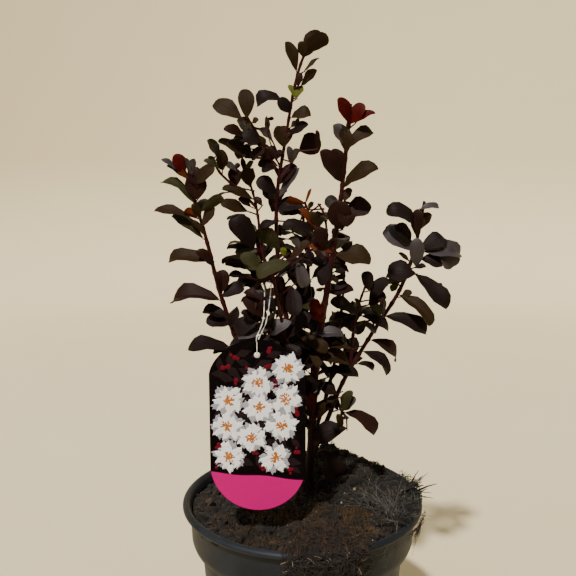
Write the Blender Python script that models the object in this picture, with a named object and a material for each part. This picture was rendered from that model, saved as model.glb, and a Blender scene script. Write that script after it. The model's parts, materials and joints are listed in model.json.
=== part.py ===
"""A potted crape myrtle: a young plant of many upright shoots in a nursery pot, with its hanging label.

Everything is in metres. The origin is the middle of the pot's flat underside, +Z is up, +X is to the
right and +Y points away from someone who faces the label.
"""

import math
from dataclasses import dataclass

import bmesh
import bpy
import numpy as np

# Gap that neighbouring solids keep, and the wider one between masses of foliage
GAP = 0.0003
LEAF_GAP = 0.0008

# Pot: a thin wall that steps in at a stacking shoulder, under a collar and a rolled lip
POT_SIDES = 48
RIM_RADIUS = 0.095
POT_HEIGHT = 0.150
LIP_DROP = 0.0050
COLLAR_TOP_RADIUS = 0.0892
COLLAR_FOOT_RADIUS = 0.0880
COLLAR_FOOT_HEIGHT = 0.1200
COLLAR_BEND_RADIUS = 0.0862
COLLAR_BEND_HEIGHT = 0.1150
SHOULDER_RADIUS = 0.0801
SHOULDER_HEIGHT = 0.1095
BASE_RADIUS = 0.0712
WALL = 0.0015
BASE_THICKNESS = 0.0022
DRAIN_COUNT = 8
DRAIN_RADIUS = 0.0048
DRAIN_CIRCLE = 0.0520

# Compost, with a flat patch that the trunk stands on
SOIL_LEVEL = 0.1465
SOIL_EDGE_LEVEL = 0.1425
SOIL_PATCH_RADIUS = 0.020
SOIL_ROUGHNESS = 0.0016

# Trunk
TRUNK_RADIUS = 0.0036
FLARE_RADIUS = 0.0066
FLARE_HEIGHT = 0.014
FLARE_LOBES = 4
TRUNK_SHARE = 0.262

# Label: a plate with straight sides, a blunt arched top and a round lower end
TAG_WIDTH = 0.0665
TAG_THICKNESS = 0.0008
TAG_PLANE = -0.0680
TAG_CENTRE_X = -0.0308
TAG_FOOT = 0.1690
TAG_SHOULDER = 0.2665
TAG_TOP = 0.2915
TAG_HOLE_RADIUS = 0.0022
TAG_HOLE_DROP = 0.0108
TIE_RADIUS = 0.0005
TIE_HEIGHT = 0.3260

TUBE_SIDES = 7
MASS_SIDES = 12
MASS_RINGS = 8
FINE_STEPS = 24


@dataclass(frozen=True)
class Shoot:
    """A growing stem: its parent, the share of the parent's length where it leaves, its bends and taper."""

    name: str
    parent: str
    leaves_at: float
    bends: tuple
    foot_radius: float
    tip_radius: float
    bare_share: float


@dataclass(frozen=True)
class Mass:
    """The foliage round a stretch of a shoot, as far as its leaves reach, and where it is widest."""

    name: str
    shoot: str
    start: float
    end: float
    reach: float
    widest: float
    turn: float


@dataclass(frozen=True)
class Finish:
    """Plain colour, roughness and metallic value of one material."""

    name: str
    colour: tuple
    roughness: float
    metallic: float = 0.0


PLASTIC = Finish("pot_plastic", (0.045, 0.050, 0.056), 0.45)
COMPOST = Finish("compost", (0.035, 0.020, 0.012), 0.95)
MOSS = Finish("moss", (0.060, 0.055, 0.022), 0.95)
ROOTS = Finish("root_fibre", (0.050, 0.030, 0.018), 0.95)
STRAW = Finish("dry_straw", (0.160, 0.130, 0.080), 0.95)
BARK = Finish("bark", (0.070, 0.018, 0.014), 0.60)
LEAF = Finish("leaf", (0.030, 0.018, 0.016), 0.45)
CARD = Finish("label_card", (0.560, 0.010, 0.180), 0.35)
THREAD = Finish("tie_thread", (0.800, 0.790, 0.760), 0.60)

# The first shoot is the leader, whose lowest stretch is the trunk
SHOOTS = (
    Shoot("right_centre", "", 0.0, (
        (0.0055, 0.0110, SOIL_LEVEL + GAP), (0.0070, 0.0080, 0.180), (0.0090, 0.0030, 0.229),
        (0.0130, -0.0120, 0.280), (0.0205, -0.0220, 0.334), (0.0280, -0.0295, 0.392),
        (0.0335, -0.0350, 0.455)), 0.0034, 0.0012, 0.32),
    Shoot("centre", "right_centre", 0.235, (
        (-0.0148, 0.0220, 0.300), (-0.0205, 0.0170, 0.375), (-0.0118, 0.0080, 0.437),
        (-0.0035, 0.0040, 0.478), (0.0090, 0.0, 0.508)), 0.0022, 0.0008, 0.24),
    Shoot("left", "right_centre", 0.178, (
        (-0.0340, -0.0120, 0.243), (-0.0577, -0.0220, 0.306), (-0.0710, -0.0280, 0.362),
        (-0.0850, -0.0330, 0.411)), 0.0021, 0.0009, 0.37),
    Shoot("right", "right_centre", 0.090, (
        (0.0196, 0.0100, 0.207), (0.0328, 0.0140, 0.239), (0.0535, 0.0180, 0.274),
        (0.0767, 0.0180, 0.312), (0.0880, 0.0175, 0.345), (0.0945, 0.0140, 0.384)),
        0.0020, 0.0009, 0.42),
    Shoot("front", "right_centre", 0.205, (
        (-0.0060, -0.0260, 0.262), (-0.0180, -0.0440, 0.316), (-0.0260, -0.0520, 0.376)),
        0.0019, 0.0008, 0.80),
    Shoot("back", "right_centre", 0.222, (
        (0.0080, 0.0400, 0.275), (0.0040, 0.0560, 0.335), (-0.0040, 0.0580, 0.412)),
        0.0019, 0.0008, 0.26),
    Shoot("back_left", "right_centre", 0.160, (
        (-0.0160, 0.0380, 0.255), (-0.0320, 0.0540, 0.312), (-0.0380, 0.0580, 0.358)),
        0.0018, 0.0008, 0.42),
    Shoot("back_right", "right_centre", 0.132, (
        (0.0260, 0.0360, 0.245), (0.0340, 0.0520, 0.300), (0.0360, 0.0560, 0.352)),
        0.0018, 0.0008, 0.45),
    Shoot("left_inner", "centre", 0.30, (
        (-0.0299, 0.0220, 0.335), (-0.0365, 0.0240, 0.378), (-0.0430, 0.0245, 0.402),
        (-0.0520, 0.0260, 0.432)), 0.0015, 0.0007, 0.0),
    Shoot("right_inner", "right", 0.355, (
        (0.0409, 0.0120, 0.284), (0.0450, 0.0070, 0.306), (0.0540, 0.0040, 0.332)),
        0.0014, 0.0007, 0.22),
    Shoot("low_right", "right", 0.245, (
        (0.0325, 0.0060, 0.2155), (0.0420, 0.0010, 0.2095), (0.0600, -0.0040, 0.2030)),
        0.0012, 0.0007, 0.30),
    Shoot("low_inner", "low_right", 0.285, (
        (0.0300, -0.0050, 0.2025), (0.0220, -0.0085, 0.1990), (0.0140, -0.0090, 0.1975)),
        0.0008, 0.0006, 0.0),
    Shoot("front_left", "front", 0.22, (
        (-0.0200, -0.0360, 0.270), (-0.0340, -0.0480, 0.302), (-0.0430, -0.0520, 0.330)),
        0.0014, 0.0007, 0.24),
    Shoot("centre_left", "centre", 0.63, (
        (-0.0315, 0.0060, 0.429), (-0.0460, -0.0020, 0.452), (-0.0580, -0.0050, 0.463)),
        0.0012, 0.0007, 0.0),
    Shoot("far_left", "left_inner", 0.58, (
        (-0.0490, 0.0200, 0.391), (-0.0660, 0.0140, 0.408), (-0.0725, 0.0100, 0.432)),
        0.0012, 0.0007, 0.0),
    Shoot("inner_right", "right_centre", 0.56, (
        (0.0185, -0.0110, 0.348), (0.0160, -0.0060, 0.374), (0.0040, -0.0060, 0.391)),
        0.0012, 0.0007, 0.0),
)

MASSES = (
    Mass("foliage_core_right", "right_centre", 0.32, 0.64, 0.026, 0.42, 0.3),
    Mass("foliage_right_centre_top", "right_centre", 0.64, 1.0, 0.027, 0.50, 1.1),
    Mass("foliage_core_left", "centre", 0.24, 0.475, 0.025, 0.50, 0.0),
    Mass("foliage_centre_middle", "centre", 0.475, 0.735, 0.021, 0.50, 2.0),
    Mass("foliage_centre_top", "centre", 0.735, 1.0, 0.019, 0.62, 0.6),
    Mass("foliage_centre_left", "centre_left", 0.12, 1.0, 0.020, 0.66, 0.9),
    Mass("foliage_left_lower", "left", 0.37, 0.665, 0.033, 0.55, 0.0),
    Mass("foliage_left_top", "left", 0.665, 1.0, 0.028, 0.42, 1.4),
    Mass("foliage_left_inner_lower", "left_inner", 0.15, 0.58, 0.019, 0.50, 0.8),
    Mass("foliage_left_inner_top", "left_inner", 0.58, 1.0, 0.017, 0.55, 0.2),
    Mass("foliage_far_left", "far_left", 0.12, 1.0, 0.016, 0.60, 1.7),
    Mass("foliage_right_lower", "right", 0.42, 0.615, 0.022, 0.50, 0.5),
    Mass("foliage_right_middle", "right", 0.615, 0.765, 0.027, 0.50, 1.9),
    Mass("foliage_right_top", "right", 0.765, 1.0, 0.037, 0.45, 0.1),
    Mass("foliage_right_inner", "right_inner", 0.22, 1.0, 0.020, 0.60, 1.2),
    Mass("foliage_low_right", "low_right", 0.30, 1.0, 0.017, 0.45, 0.7),
    Mass("foliage_low_inner", "low_inner", 0.10, 1.0, 0.0105, 0.50, 0.6),
    Mass("foliage_front", "front", 0.80, 1.0, 0.026, 0.60, 2.4),
    Mass("foliage_front_left", "front_left", 0.24, 1.0, 0.022, 0.62, 0.4),
    Mass("foliage_inner_right", "inner_right", 0.18, 1.0, 0.017, 0.60, 1.5),
    Mass("foliage_back_lower", "back", 0.26, 0.625, 0.027, 0.50, 0.9),
    Mass("foliage_back_top", "back", 0.625, 1.0, 0.024, 0.45, 2.2),
    Mass("foliage_back_left", "back_left", 0.42, 1.0, 0.027, 0.60, 1.3),
    Mass("foliage_back_right", "back_right", 0.45, 1.0, 0.026, 0.60, 0.2),
)


def clear_scene():
    """Remove every object of the scene that is open."""
    for old in list(bpy.data.objects):
        bpy.data.objects.remove(old, do_unlink=True)


def material(finish):
    """The Principled material of a finish, made once."""
    known = bpy.data.materials.get(finish.name)
    if known:
        return known
    made = bpy.data.materials.new(finish.name)
    made.use_nodes = True
    shader = made.node_tree.nodes["Principled BSDF"]
    shader.inputs["Base Color"].default_value = (*finish.colour, 1.0)
    shader.inputs["Roughness"].default_value = finish.roughness
    shader.inputs["Metallic"].default_value = finish.metallic
    return made


def add_object(name, mesh, finish, smooth=True):
    """Put a mesh into the scene as a named object, with its normals facing out."""
    body = bmesh.new()
    body.from_mesh(mesh)
    bmesh.ops.recalc_face_normals(body, faces=body.faces)
    body.to_mesh(mesh)
    body.free()
    if smooth:
        mesh.shade_smooth()
        mesh.set_sharp_from_angle(angle=math.radians(40))
    made = bpy.data.objects.new(name, mesh)
    bpy.context.scene.collection.objects.link(made)
    if finish is not None:
        mesh.materials.append(material(finish))
    return made


def add_cutter(name, mesh):
    """A helper that only cuts: it is drawn as wires and left out of a render."""
    made = add_object(name, mesh, None, smooth=False)
    made.hide_render = True
    made.display_type = "WIRE"
    return made


def cut(target, cutter):
    """Take a cutter's shape out of a target with a live Boolean."""
    change = target.modifiers.new("cut_" + cutter.name, "BOOLEAN")
    change.operation = "DIFFERENCE"
    change.solver = "EXACT"
    change.object = cutter


def loft(name, rings, round_and_back=False):
    """Join rings of points, an array of ring, side and axis, into a closed skin.

    The two end rings get flat caps, unless the last ring joins the first again.
    """
    rings = np.asarray(rings, float)
    ring_count, side_count = rings.shape[:2]
    index = np.arange(ring_count * side_count).reshape(ring_count, side_count)
    onward = np.roll(index, -1, axis=1)
    lower = slice(None) if round_and_back else slice(0, -1)
    upper = np.roll(index, -1, axis=0)[lower], np.roll(onward, -1, axis=0)[lower]
    quads = np.stack([index[lower], onward[lower], upper[1], upper[0]], axis=-1)
    faces = quads.reshape(-1, 4).tolist()
    if not round_and_back:
        faces += [index[0].tolist(), index[-1].tolist()]
    mesh = bpy.data.meshes.new(name)
    mesh.from_pydata(rings.reshape(-1, 3).tolist(), [], faces)
    return mesh


def turn_profile(name, profile, sides):
    """Turn a profile of (radius, height) pairs round the Z axis, closing it with a point at each end."""
    angles = np.arange(sides) * 2 * math.pi / sides
    radius, height = np.asarray(profile, float).T
    rings = np.empty((len(radius), sides, 3))
    rings[..., 0] = radius[:, None] * np.cos(angles)
    rings[..., 1] = radius[:, None] * np.sin(angles)
    rings[..., 2] = height[:, None]
    return loft(name, rings)


def smooth_path(points):
    """A fine Catmull-Rom curve through the given points."""
    points = np.asarray(points, float)
    held = np.vstack([2 * points[0] - points[1], points, 2 * points[-1] - points[-2]])
    steps = np.linspace(0, 1, FINE_STEPS, endpoint=False)[:, None]
    pieces = []
    for before, start, end, after in zip(held, held[1:], held[2:], held[3:]):
        pieces.append(0.5 * (
            2 * start + (end - before) * steps
            + (2 * before - 5 * start + 4 * end - after) * steps**2
            + (3 * start - before - 3 * end + after) * steps**3))
    return np.vstack([*pieces, points[-1:]])


def lengths_along(path):
    """Distance along a path at each of its points."""
    return np.concatenate([[0.0], np.cumsum(np.linalg.norm(np.diff(path, axis=0), axis=1))])


def stretch(path, start, end, count):
    """Evenly spaced points from one share of a path's length to another."""
    along = lengths_along(path)
    wanted = np.linspace(start, end, count) * along[-1]
    return np.stack([np.interp(wanted, along, path[:, axis]) for axis in range(3)], axis=1)


def cross_axes(path):
    """Two unit vectors across the path at each point, square to it and to each other."""
    tangent = np.gradient(path, axis=0)
    tangent /= np.linalg.norm(tangent, axis=1, keepdims=True)
    side = np.cross((0.0, 1.0, 0.0), tangent)
    side /= np.linalg.norm(side, axis=1, keepdims=True)
    return side, np.cross(tangent, side)


def tube_rings(path, radii, sides):
    """Round sections of the given radii, square to a path."""
    side, other = cross_axes(path)
    angles = np.arange(sides) * 2 * math.pi / sides
    spokes = (side[:, None] * np.cos(angles)[None, :, None]
              + other[:, None] * np.sin(angles)[None, :, None])
    return path[:, None] + spokes * np.asarray(radii)[:, None, None]


def shoot_paths():
    """The fine path of every shoot, foot to tip, by name."""
    paths = {}
    for shoot in SHOOTS:
        points = list(shoot.bends)
        if shoot.parent:
            points.insert(0, stretch(paths[shoot.parent], shoot.leaves_at, shoot.leaves_at, 1)[0])
        paths[shoot.name] = smooth_path(points)
    return paths


def shoot_radius(shoot, share):
    """Radius of a shoot at a share of its length: an even taper, foot to tip."""
    return shoot.foot_radius + (shoot.tip_radius - shoot.foot_radius) * share


def make_pot():
    """The turned pot, with drainage holes round its base."""
    profile = (
        (BASE_RADIUS - 0.0015, 0.0),
        (BASE_RADIUS, 0.0015),
        (SHOULDER_RADIUS, SHOULDER_HEIGHT),
        (COLLAR_BEND_RADIUS, COLLAR_BEND_HEIGHT),
        (COLLAR_FOOT_RADIUS, COLLAR_FOOT_HEIGHT),
        (COLLAR_TOP_RADIUS, POT_HEIGHT - LIP_DROP),
        (RIM_RADIUS - 0.0006, POT_HEIGHT - LIP_DROP),
        (RIM_RADIUS, POT_HEIGHT - 0.0036),
        (RIM_RADIUS - 0.0004, POT_HEIGHT - 0.0016),
        (RIM_RADIUS - 0.0022, POT_HEIGHT),
        (COLLAR_TOP_RADIUS + 0.0012, POT_HEIGHT),
        (COLLAR_TOP_RADIUS - 0.0004, POT_HEIGHT - 0.0020),
        (COLLAR_TOP_RADIUS - WALL, POT_HEIGHT - LIP_DROP),
        (COLLAR_FOOT_RADIUS - WALL, COLLAR_FOOT_HEIGHT + 0.5 * WALL),
        (COLLAR_BEND_RADIUS - WALL, COLLAR_BEND_HEIGHT + WALL),
        (SHOULDER_RADIUS - WALL, SHOULDER_HEIGHT + WALL),
        (BASE_RADIUS - WALL, BASE_THICKNESS),
    )
    pot = add_object("pot", turn_profile("pot", profile, POT_SIDES), PLASTIC)
    drains = bmesh.new()
    for number in range(DRAIN_COUNT):
        angle = (number + 0.5) * 2 * math.pi / DRAIN_COUNT
        hole = bmesh.ops.create_cone(
            drains, cap_ends=True, segments=12, radius1=DRAIN_RADIUS, radius2=DRAIN_RADIUS, depth=0.02)
        place = (DRAIN_CIRCLE * math.cos(angle), DRAIN_CIRCLE * math.sin(angle), 0.0)
        bmesh.ops.translate(drains, verts=hole["verts"], vec=place)
    mesh = bpy.data.meshes.new("drain_cutter")
    drains.to_mesh(mesh)
    drains.free()
    cut(pot, add_cutter("drain_cutter", mesh))


def soil_height(radius, angle):
    """Height of the compost: flat in the middle, lower at the wall, uneven between them."""
    share = np.clip((radius - SOIL_PATCH_RADIUS) / (COLLAR_TOP_RADIUS - SOIL_PATCH_RADIUS), 0, 1)
    rough = SOIL_ROUGHNESS * np.sin(3 * angle + 60 * radius) * np.cos(5 * angle - 90 * radius)
    return SOIL_LEVEL - (SOIL_LEVEL - SOIL_EDGE_LEVEL) * share + rough * np.sin(math.pi * share)


def make_compost():
    """The compost that fills the pot, clear of its wall and base."""
    inner = WALL + GAP
    walls = np.array((
        (BASE_RADIUS - inner - 0.0006, BASE_THICKNESS + GAP),
        (SHOULDER_RADIUS - inner - 0.0006, SHOULDER_HEIGHT + WALL),
        (COLLAR_BEND_RADIUS - inner - 0.0008, COLLAR_BEND_HEIGHT + WALL),
        (COLLAR_FOOT_RADIUS - inner - 0.0006, COLLAR_FOOT_HEIGHT + WALL),
        (COLLAR_TOP_RADIUS - inner - 0.0006, SOIL_EDGE_LEVEL),
    ))
    top_radius = np.array((0.072, 0.055, 0.038, SOIL_PATCH_RADIUS))
    radius = np.concatenate([walls[:, 0], top_radius])
    angles = np.arange(POT_SIDES) * 2 * math.pi / POT_SIDES
    height = np.tile(np.concatenate([walls[:, 1], top_radius])[:, None], (1, POT_SIDES))
    height[len(walls):] = soil_height(top_radius[:, None], angles[None])
    rings = np.stack([
        radius[:, None] * np.cos(angles), radius[:, None] * np.sin(angles), height], axis=-1)
    add_object("compost", loft("compost", rings), COMPOST)


def make_patch(name, finish, arc, section, steps):
    """A lump whose (radius, height) section, which may change along the arc, is swept round the pot."""
    shares = np.linspace(0, 1, steps)
    angles = np.radians(arc[0] + (arc[1] - arc[0]) * shares)
    sections = np.array([section(share, angle) for share, angle in zip(shares, angles)])
    rings = np.stack([
        sections[..., 0] * np.cos(angles)[:, None],
        sections[..., 0] * np.sin(angles)[:, None],
        sections[..., 1]], axis=-1)
    return add_object(name, loft(name, rings), finish)


def moss_section(share, angle):
    """A low dome on the compost, highest before half way round and towards the back wall."""
    rise = (0.3 + 0.7 * math.sin(math.pi * share) ** 0.6) * (1 - 0.30 * share)
    near = SOIL_PATCH_RADIUS + 0.006
    far = COLLAR_TOP_RADIUS - WALL - 0.0030
    floor = [(r, float(soil_height(r, angle)) + 0.0009) for r in np.linspace(near, far, 4)]
    bumps = (0.008, 0.017, 0.019, 0.012)
    radii = np.linspace(far, near + 0.004, len(bumps))
    crest = [(r, SOIL_LEVEL + bump * rise) for r, bump in zip(radii, bumps[::-1])]
    return floor + crest


def draped_section(reach_in, hang, thickness):
    """A function that gives the section of a mat lying on compost, over the lip and down outside it."""

    def section(share, angle):
        swell = thickness * (0.45 + 0.55 * math.sin(math.pi * share) ** 0.5)
        swell *= 1 + 0.15 * math.sin(9 * angle)
        foot = POT_HEIGHT - hang * (0.35 + 0.65 * math.sin(math.pi * share) ** 0.7)
        wall = COLLAR_TOP_RADIUS - WALL - 0.0014
        lip = RIM_RADIUS + 0.0008
        soil = float(soil_height(reach_in, angle)) + 0.0012
        return [
            (reach_in, soil), (wall, soil), (wall, POT_HEIGHT + 0.0006), (lip, POT_HEIGHT + 0.0006),
            (lip, POT_HEIGHT - LIP_DROP - 0.001), (COLLAR_TOP_RADIUS + 0.0012, foot),
            (COLLAR_TOP_RADIUS + 0.5 * swell, foot), (lip + 0.75 * swell, POT_HEIGHT - LIP_DROP),
            (lip + 0.3 * swell, POT_HEIGHT + 0.7 * swell), (wall, POT_HEIGHT + 0.9 * swell),
            (reach_in + 0.002, soil + 0.5 * swell)]

    return section


def make_ground_cover():
    """The moss at the back, the straw at the right and the matted roots over the front of the lip."""
    make_patch("moss_mound", MOSS, (24, 112), moss_section, 8)
    make_patch("straw_tuft", STRAW, (-28, 18), draped_section(0.064, 0.015, 0.004), 6)
    make_patch("root_mat", ROOTS, (-95, -62), draped_section(0.058, 0.056, 0.007), 6)


def make_trunk(path):
    """The short trunk, from its flat cut on the compost, through its root flare, to its fork."""
    line = stretch(path, 0, TRUNK_SHARE, 9)
    height = line[:, 2] - line[0, 2]
    taper = 1 - 0.12 * height / height[-1]
    flare = (FLARE_RADIUS - TRUNK_RADIUS) * np.exp(-height / (0.4 * FLARE_HEIGHT))
    sides = 10
    rings = tube_rings(line, TRUNK_RADIUS * taper + flare, sides)
    angles = np.arange(sides) * 2 * math.pi / sides
    lobes = 1 + 0.5 * (flare / TRUNK_RADIUS)[:, None] * np.cos(FLARE_LOBES * angles)[None]
    rings = line[:, None] + (rings - line[:, None]) * lobes[..., None]
    rings[0, :, 2] = line[0, 2]
    add_object("trunk", loft("trunk", rings), BARK)


def make_limb(shoot, paths):
    """The bare stretch of a shoot, up to its foliage, with its foot cut to fit round its parent."""
    path = paths[shoot.name]
    length = lengths_along(path)[-1]
    start = TRUNK_SHARE + GAP / length if not shoot.parent else 0.0
    line = stretch(path, start, shoot.bare_share - GAP / length, 7)
    radii = shoot_radius(shoot, np.linspace(start, shoot.bare_share, len(line)))
    name = "bough_" + shoot.name
    limb = add_object(name, loft(name, tube_rings(line, radii, TUBE_SIDES)), BARK)
    if not shoot.parent:
        return
    parent = next(other for other in SHOOTS if other.name == shoot.parent)
    reach = 0.09
    share = np.array((shoot.leaves_at - reach, shoot.leaves_at + reach)).clip(0, 1)
    rail = stretch(paths[parent.name], *share, 7)
    on_trunk = not parent.parent and shoot.leaves_at < TRUNK_SHARE
    radius = TRUNK_RADIUS if on_trunk else shoot_radius(parent, shoot.leaves_at - reach)
    cutter_name = "cutter_" + shoot.name
    wide = tube_rings(rail, np.full(len(rail), radius + 2 * GAP), 10)
    cut(limb, add_cutter(cutter_name, loft(cutter_name, wide)))


def nearest(points, path):
    """Distance from each of many points to the nearest point of a path."""
    return np.linalg.norm(points[..., None, :] - path, axis=-1).min(axis=-1)


def rivals_of(mass, paths, tie):
    """The lines that a mass keeps clear of: each with how much nearer than its own shoot it may come."""
    rivals = [(1.0, tie)]
    for other in MASSES:
        if other.name != mass.name:
            rivals.append((1.0, stretch(paths[other.shoot], other.start, other.end, 24)))
    for shoot in SHOOTS:
        if shoot.bare_share > 0:
            rivals.append((2.6, stretch(paths[shoot.name], 0, shoot.bare_share - 0.01, 24)))
    return rivals


def mass_rings(mass, paths, tie):
    """Uneven sections round a shoot: each point reaches out until another shoot is as near as its own."""
    trim = GAP / lengths_along(paths[mass.shoot])[-1]
    line = stretch(paths[mass.shoot], mass.start + trim, mass.end - trim, MASS_RINGS)
    share = np.linspace(0, 1, MASS_RINGS)
    power = math.log(0.5) / math.log(mass.widest)
    profile = 0.16 + 0.84 * np.sin(math.pi * share**power) ** 0.75
    angles = np.arange(MASS_SIDES) * 2 * math.pi / MASS_SIDES
    lumps = (1 + 0.16 * np.cos(2 * angles[None] + 5.5 * share[:, None] + mass.turn)
             + 0.09 * np.cos(3 * angles[None] - 9.0 * share[:, None] + 2 * mass.turn))
    wanted = mass.reach * profile[:, None] * lumps / 1.12
    spokes = tube_rings(line, np.ones(MASS_RINGS), MASS_SIDES) - line[:, None]
    own = stretch(paths[mass.shoot], mass.start, mass.end, 40)
    out = np.linspace(0.08, 1, 30)
    trial = line[:, None, None] + spokes[:, :, None] * (wanted[..., None] * out)[..., None]
    own_way = nearest(trial, own) + LEAF_GAP
    free = trial[..., 1] > TAG_PLANE + 0.003
    for weight, rival in rivals_of(mass, paths, tie):
        free &= nearest(trial, rival) * weight > own_way
    open_steps = np.maximum(np.cumprod(free, axis=-1).sum(axis=-1) - 1, 0)
    return line[:, None] + spokes * (wanted * out[open_steps])[..., None]


def tag_outline():
    """The label's outline as (x, z) pairs: round below, straight sides, a blunt arch on top."""
    half = TAG_WIDTH / 2
    round_end = [
        (TAG_CENTRE_X + half * math.cos(angle), TAG_FOOT + half + half * math.sin(angle))
        for angle in np.linspace(-math.pi, 0, 17)]
    rise = TAG_TOP - TAG_SHOULDER
    arch = [
        (TAG_CENTRE_X + half * math.cos(angle), TAG_SHOULDER + rise * math.sin(angle) ** 1.24)
        for angle in np.linspace(0, math.pi, 17)]
    return round_end + arch


def make_tag():
    """The flat label, with a round hole near its top for the tie."""
    outline = np.array(tag_outline())
    half = TAG_THICKNESS / 2
    rings = [
        np.stack([outline[:, 0], np.full(len(outline), TAG_PLANE + side), outline[:, 1]], axis=1)
        for side in (-half, half)]
    tag = add_object("label_tag", loft("label_tag", rings), CARD, smooth=False)
    hole = np.array(((TAG_CENTRE_X, TAG_PLANE - 0.004, TAG_TOP - TAG_HOLE_DROP),
                     (TAG_CENTRE_X + 1e-6, TAG_PLANE + 0.004, TAG_TOP - TAG_HOLE_DROP)))
    angles = np.arange(14) * 2 * math.pi / 14
    round_hole = np.stack([np.cos(angles), np.zeros(14), np.sin(angles)], axis=1) * TAG_HOLE_RADIUS
    cutter = loft("tag_hole_cutter", hole[:, None] + round_hole[None])
    cut(tag, add_cutter("tag_hole_cutter", cutter))


def tie_points(front_path):
    """The closed line of the tie: through the label's hole, up, and round the front shoot."""
    hole = np.array((TAG_CENTRE_X, TAG_PLANE, TAG_TOP - TAG_HOLE_DROP))
    stem = front_path[np.abs(front_path[:, 2] - TIE_HEIGHT).argmin()]
    wide = 0.0022
    return np.array((
        hole,
        hole + (0.0, -0.0014, 0.0030),
        hole + (0.0, -0.0016, 0.0080),
        hole + (0.0, -0.0014, 0.0128),
        0.5 * (hole + stem) + (-0.0020, -0.0030, 0.0010),
        stem + (-wide, -0.0010, -0.0012),
        stem + (-0.4 * wide, wide, 0.0010),
        stem + (0.7 * wide, 0.8 * wide, 0.0010),
        stem + (wide, -0.0012, -0.0012),
        0.5 * (hole + stem) + (0.0025, 0.0010, -0.0010),
        hole + (0.0004, 0.0028, 0.0090),
        hole + (0.0, 0.0014, 0.0012),
    ))


def closed_path(points, count):
    """Evenly spaced points along a smooth closed curve through the given ones."""
    around = np.vstack([points[-1:], points, points[:2]])
    path = smooth_path(around)[FINE_STEPS:-FINE_STEPS]
    return stretch(path, 0, 1 - 1 / count, count)


def make_tie(line):
    """The thin tie, a closed round loop."""
    tangent = np.roll(line, -1, axis=0) - np.roll(line, 1, axis=0)
    tangent /= np.linalg.norm(tangent, axis=1, keepdims=True)
    middle = line.mean(axis=0)
    outward = line - middle
    outward -= (outward * tangent).sum(axis=1, keepdims=True) * tangent
    outward /= np.linalg.norm(outward, axis=1, keepdims=True)
    other = np.cross(tangent, outward)
    angles = np.arange(6) * 2 * math.pi / 6
    spokes = (outward[:, None] * np.cos(angles)[None, :, None]
              + other[:, None] * np.sin(angles)[None, :, None])
    rings = line[:, None] + TIE_RADIUS * spokes
    add_object("label_tie", loft("label_tie", rings, round_and_back=True), THREAD)


def build():
    """Make every piece of the plant, its pot and its label."""
    clear_scene()
    paths = shoot_paths()
    tie = closed_path(tie_points(paths["front"]), 36)
    make_pot()
    make_compost()
    make_ground_cover()
    make_trunk(paths["right_centre"])
    for shoot in SHOOTS:
        if shoot.bare_share > 0:
            make_limb(shoot, paths)
    for mass in MASSES:
        add_object(mass.name, loft(mass.name, mass_rings(mass, paths, tie)), LEAF)
    make_tag()
    make_tie(tie)


build()
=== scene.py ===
"""Looks of a potted crape myrtle: pot, compost, stems, leaves and hanging label.

Sizes are in metres, in the frame of the solids: the origin is the middle of the pot's flat underside,
+Z is up, +X is to the right and -Y points to the camera that faces the label.
"""

from __future__ import annotations

import itertools
import json
import logging
import math
from dataclasses import dataclass, field, replace
from enum import Enum
from typing import Any, Callable, NamedTuple, Sequence, Union

import bmesh
import bpy
import numpy as np
from mathutils import Matrix, Vector

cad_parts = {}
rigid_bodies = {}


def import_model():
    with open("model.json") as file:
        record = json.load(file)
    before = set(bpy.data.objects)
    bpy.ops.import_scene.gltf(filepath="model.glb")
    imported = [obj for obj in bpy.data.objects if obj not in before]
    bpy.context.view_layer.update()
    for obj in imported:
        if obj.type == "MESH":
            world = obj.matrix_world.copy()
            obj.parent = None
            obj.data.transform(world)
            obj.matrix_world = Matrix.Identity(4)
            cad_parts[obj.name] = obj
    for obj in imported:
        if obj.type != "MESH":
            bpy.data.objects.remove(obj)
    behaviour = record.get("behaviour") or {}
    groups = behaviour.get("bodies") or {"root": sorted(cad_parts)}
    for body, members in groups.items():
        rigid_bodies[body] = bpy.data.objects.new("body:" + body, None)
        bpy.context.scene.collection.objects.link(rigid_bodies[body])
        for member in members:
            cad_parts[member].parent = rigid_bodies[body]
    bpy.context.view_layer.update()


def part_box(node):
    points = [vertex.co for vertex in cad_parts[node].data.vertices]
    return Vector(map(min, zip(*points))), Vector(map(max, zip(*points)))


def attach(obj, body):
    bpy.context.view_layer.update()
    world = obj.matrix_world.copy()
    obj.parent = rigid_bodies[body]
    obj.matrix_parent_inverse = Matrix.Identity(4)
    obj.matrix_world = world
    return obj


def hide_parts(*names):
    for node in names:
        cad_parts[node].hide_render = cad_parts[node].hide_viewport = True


Array = np.ndarray
Colour = tuple[float, float, float]
Pixel = tuple[float, float]
Operand = Union["Wire", float]
Ground = Callable[[Array], Array]

FINE_STEPS = 24
LOBE_SIDES = 16
TAG_ROOM = 0.004
SEED = 20
LOG = logging.getLogger("potted_plant")


class Tone(Enum):
    """The leaf colours that are dealt out by spray."""

    DUSK = "dusk"
    WINE = "wine"
    # A grey-purple: the paler tone of undersides, with a painted sheen of reflected sky on upper sides.
    MAUVE = "mauve"
    # A brown-green that paints the glow of sunlight shining through backlit blades.
    OLIVE = "olive"
    GREEN = "green"
    RED = "red"
    EMBER = "ember"
    # A yellow-green that paints sunlight shining through young leaves.
    LIME = "lime"


DUSK, WINE, MAUVE, OLIVE, GREEN, RED, EMBER, LIME = Tone


class Slot(Enum):
    """The material slots of the record."""

    POT = "pot_plastic"
    COMPOST = "compost"
    MOSS = "moss"
    ROOT = "root_fibre"
    STRAW = "dry_straw"
    BARK = "bark"
    LEAF = "leaf"
    CARD = "label_card"
    THREAD = "tie_thread"


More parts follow.
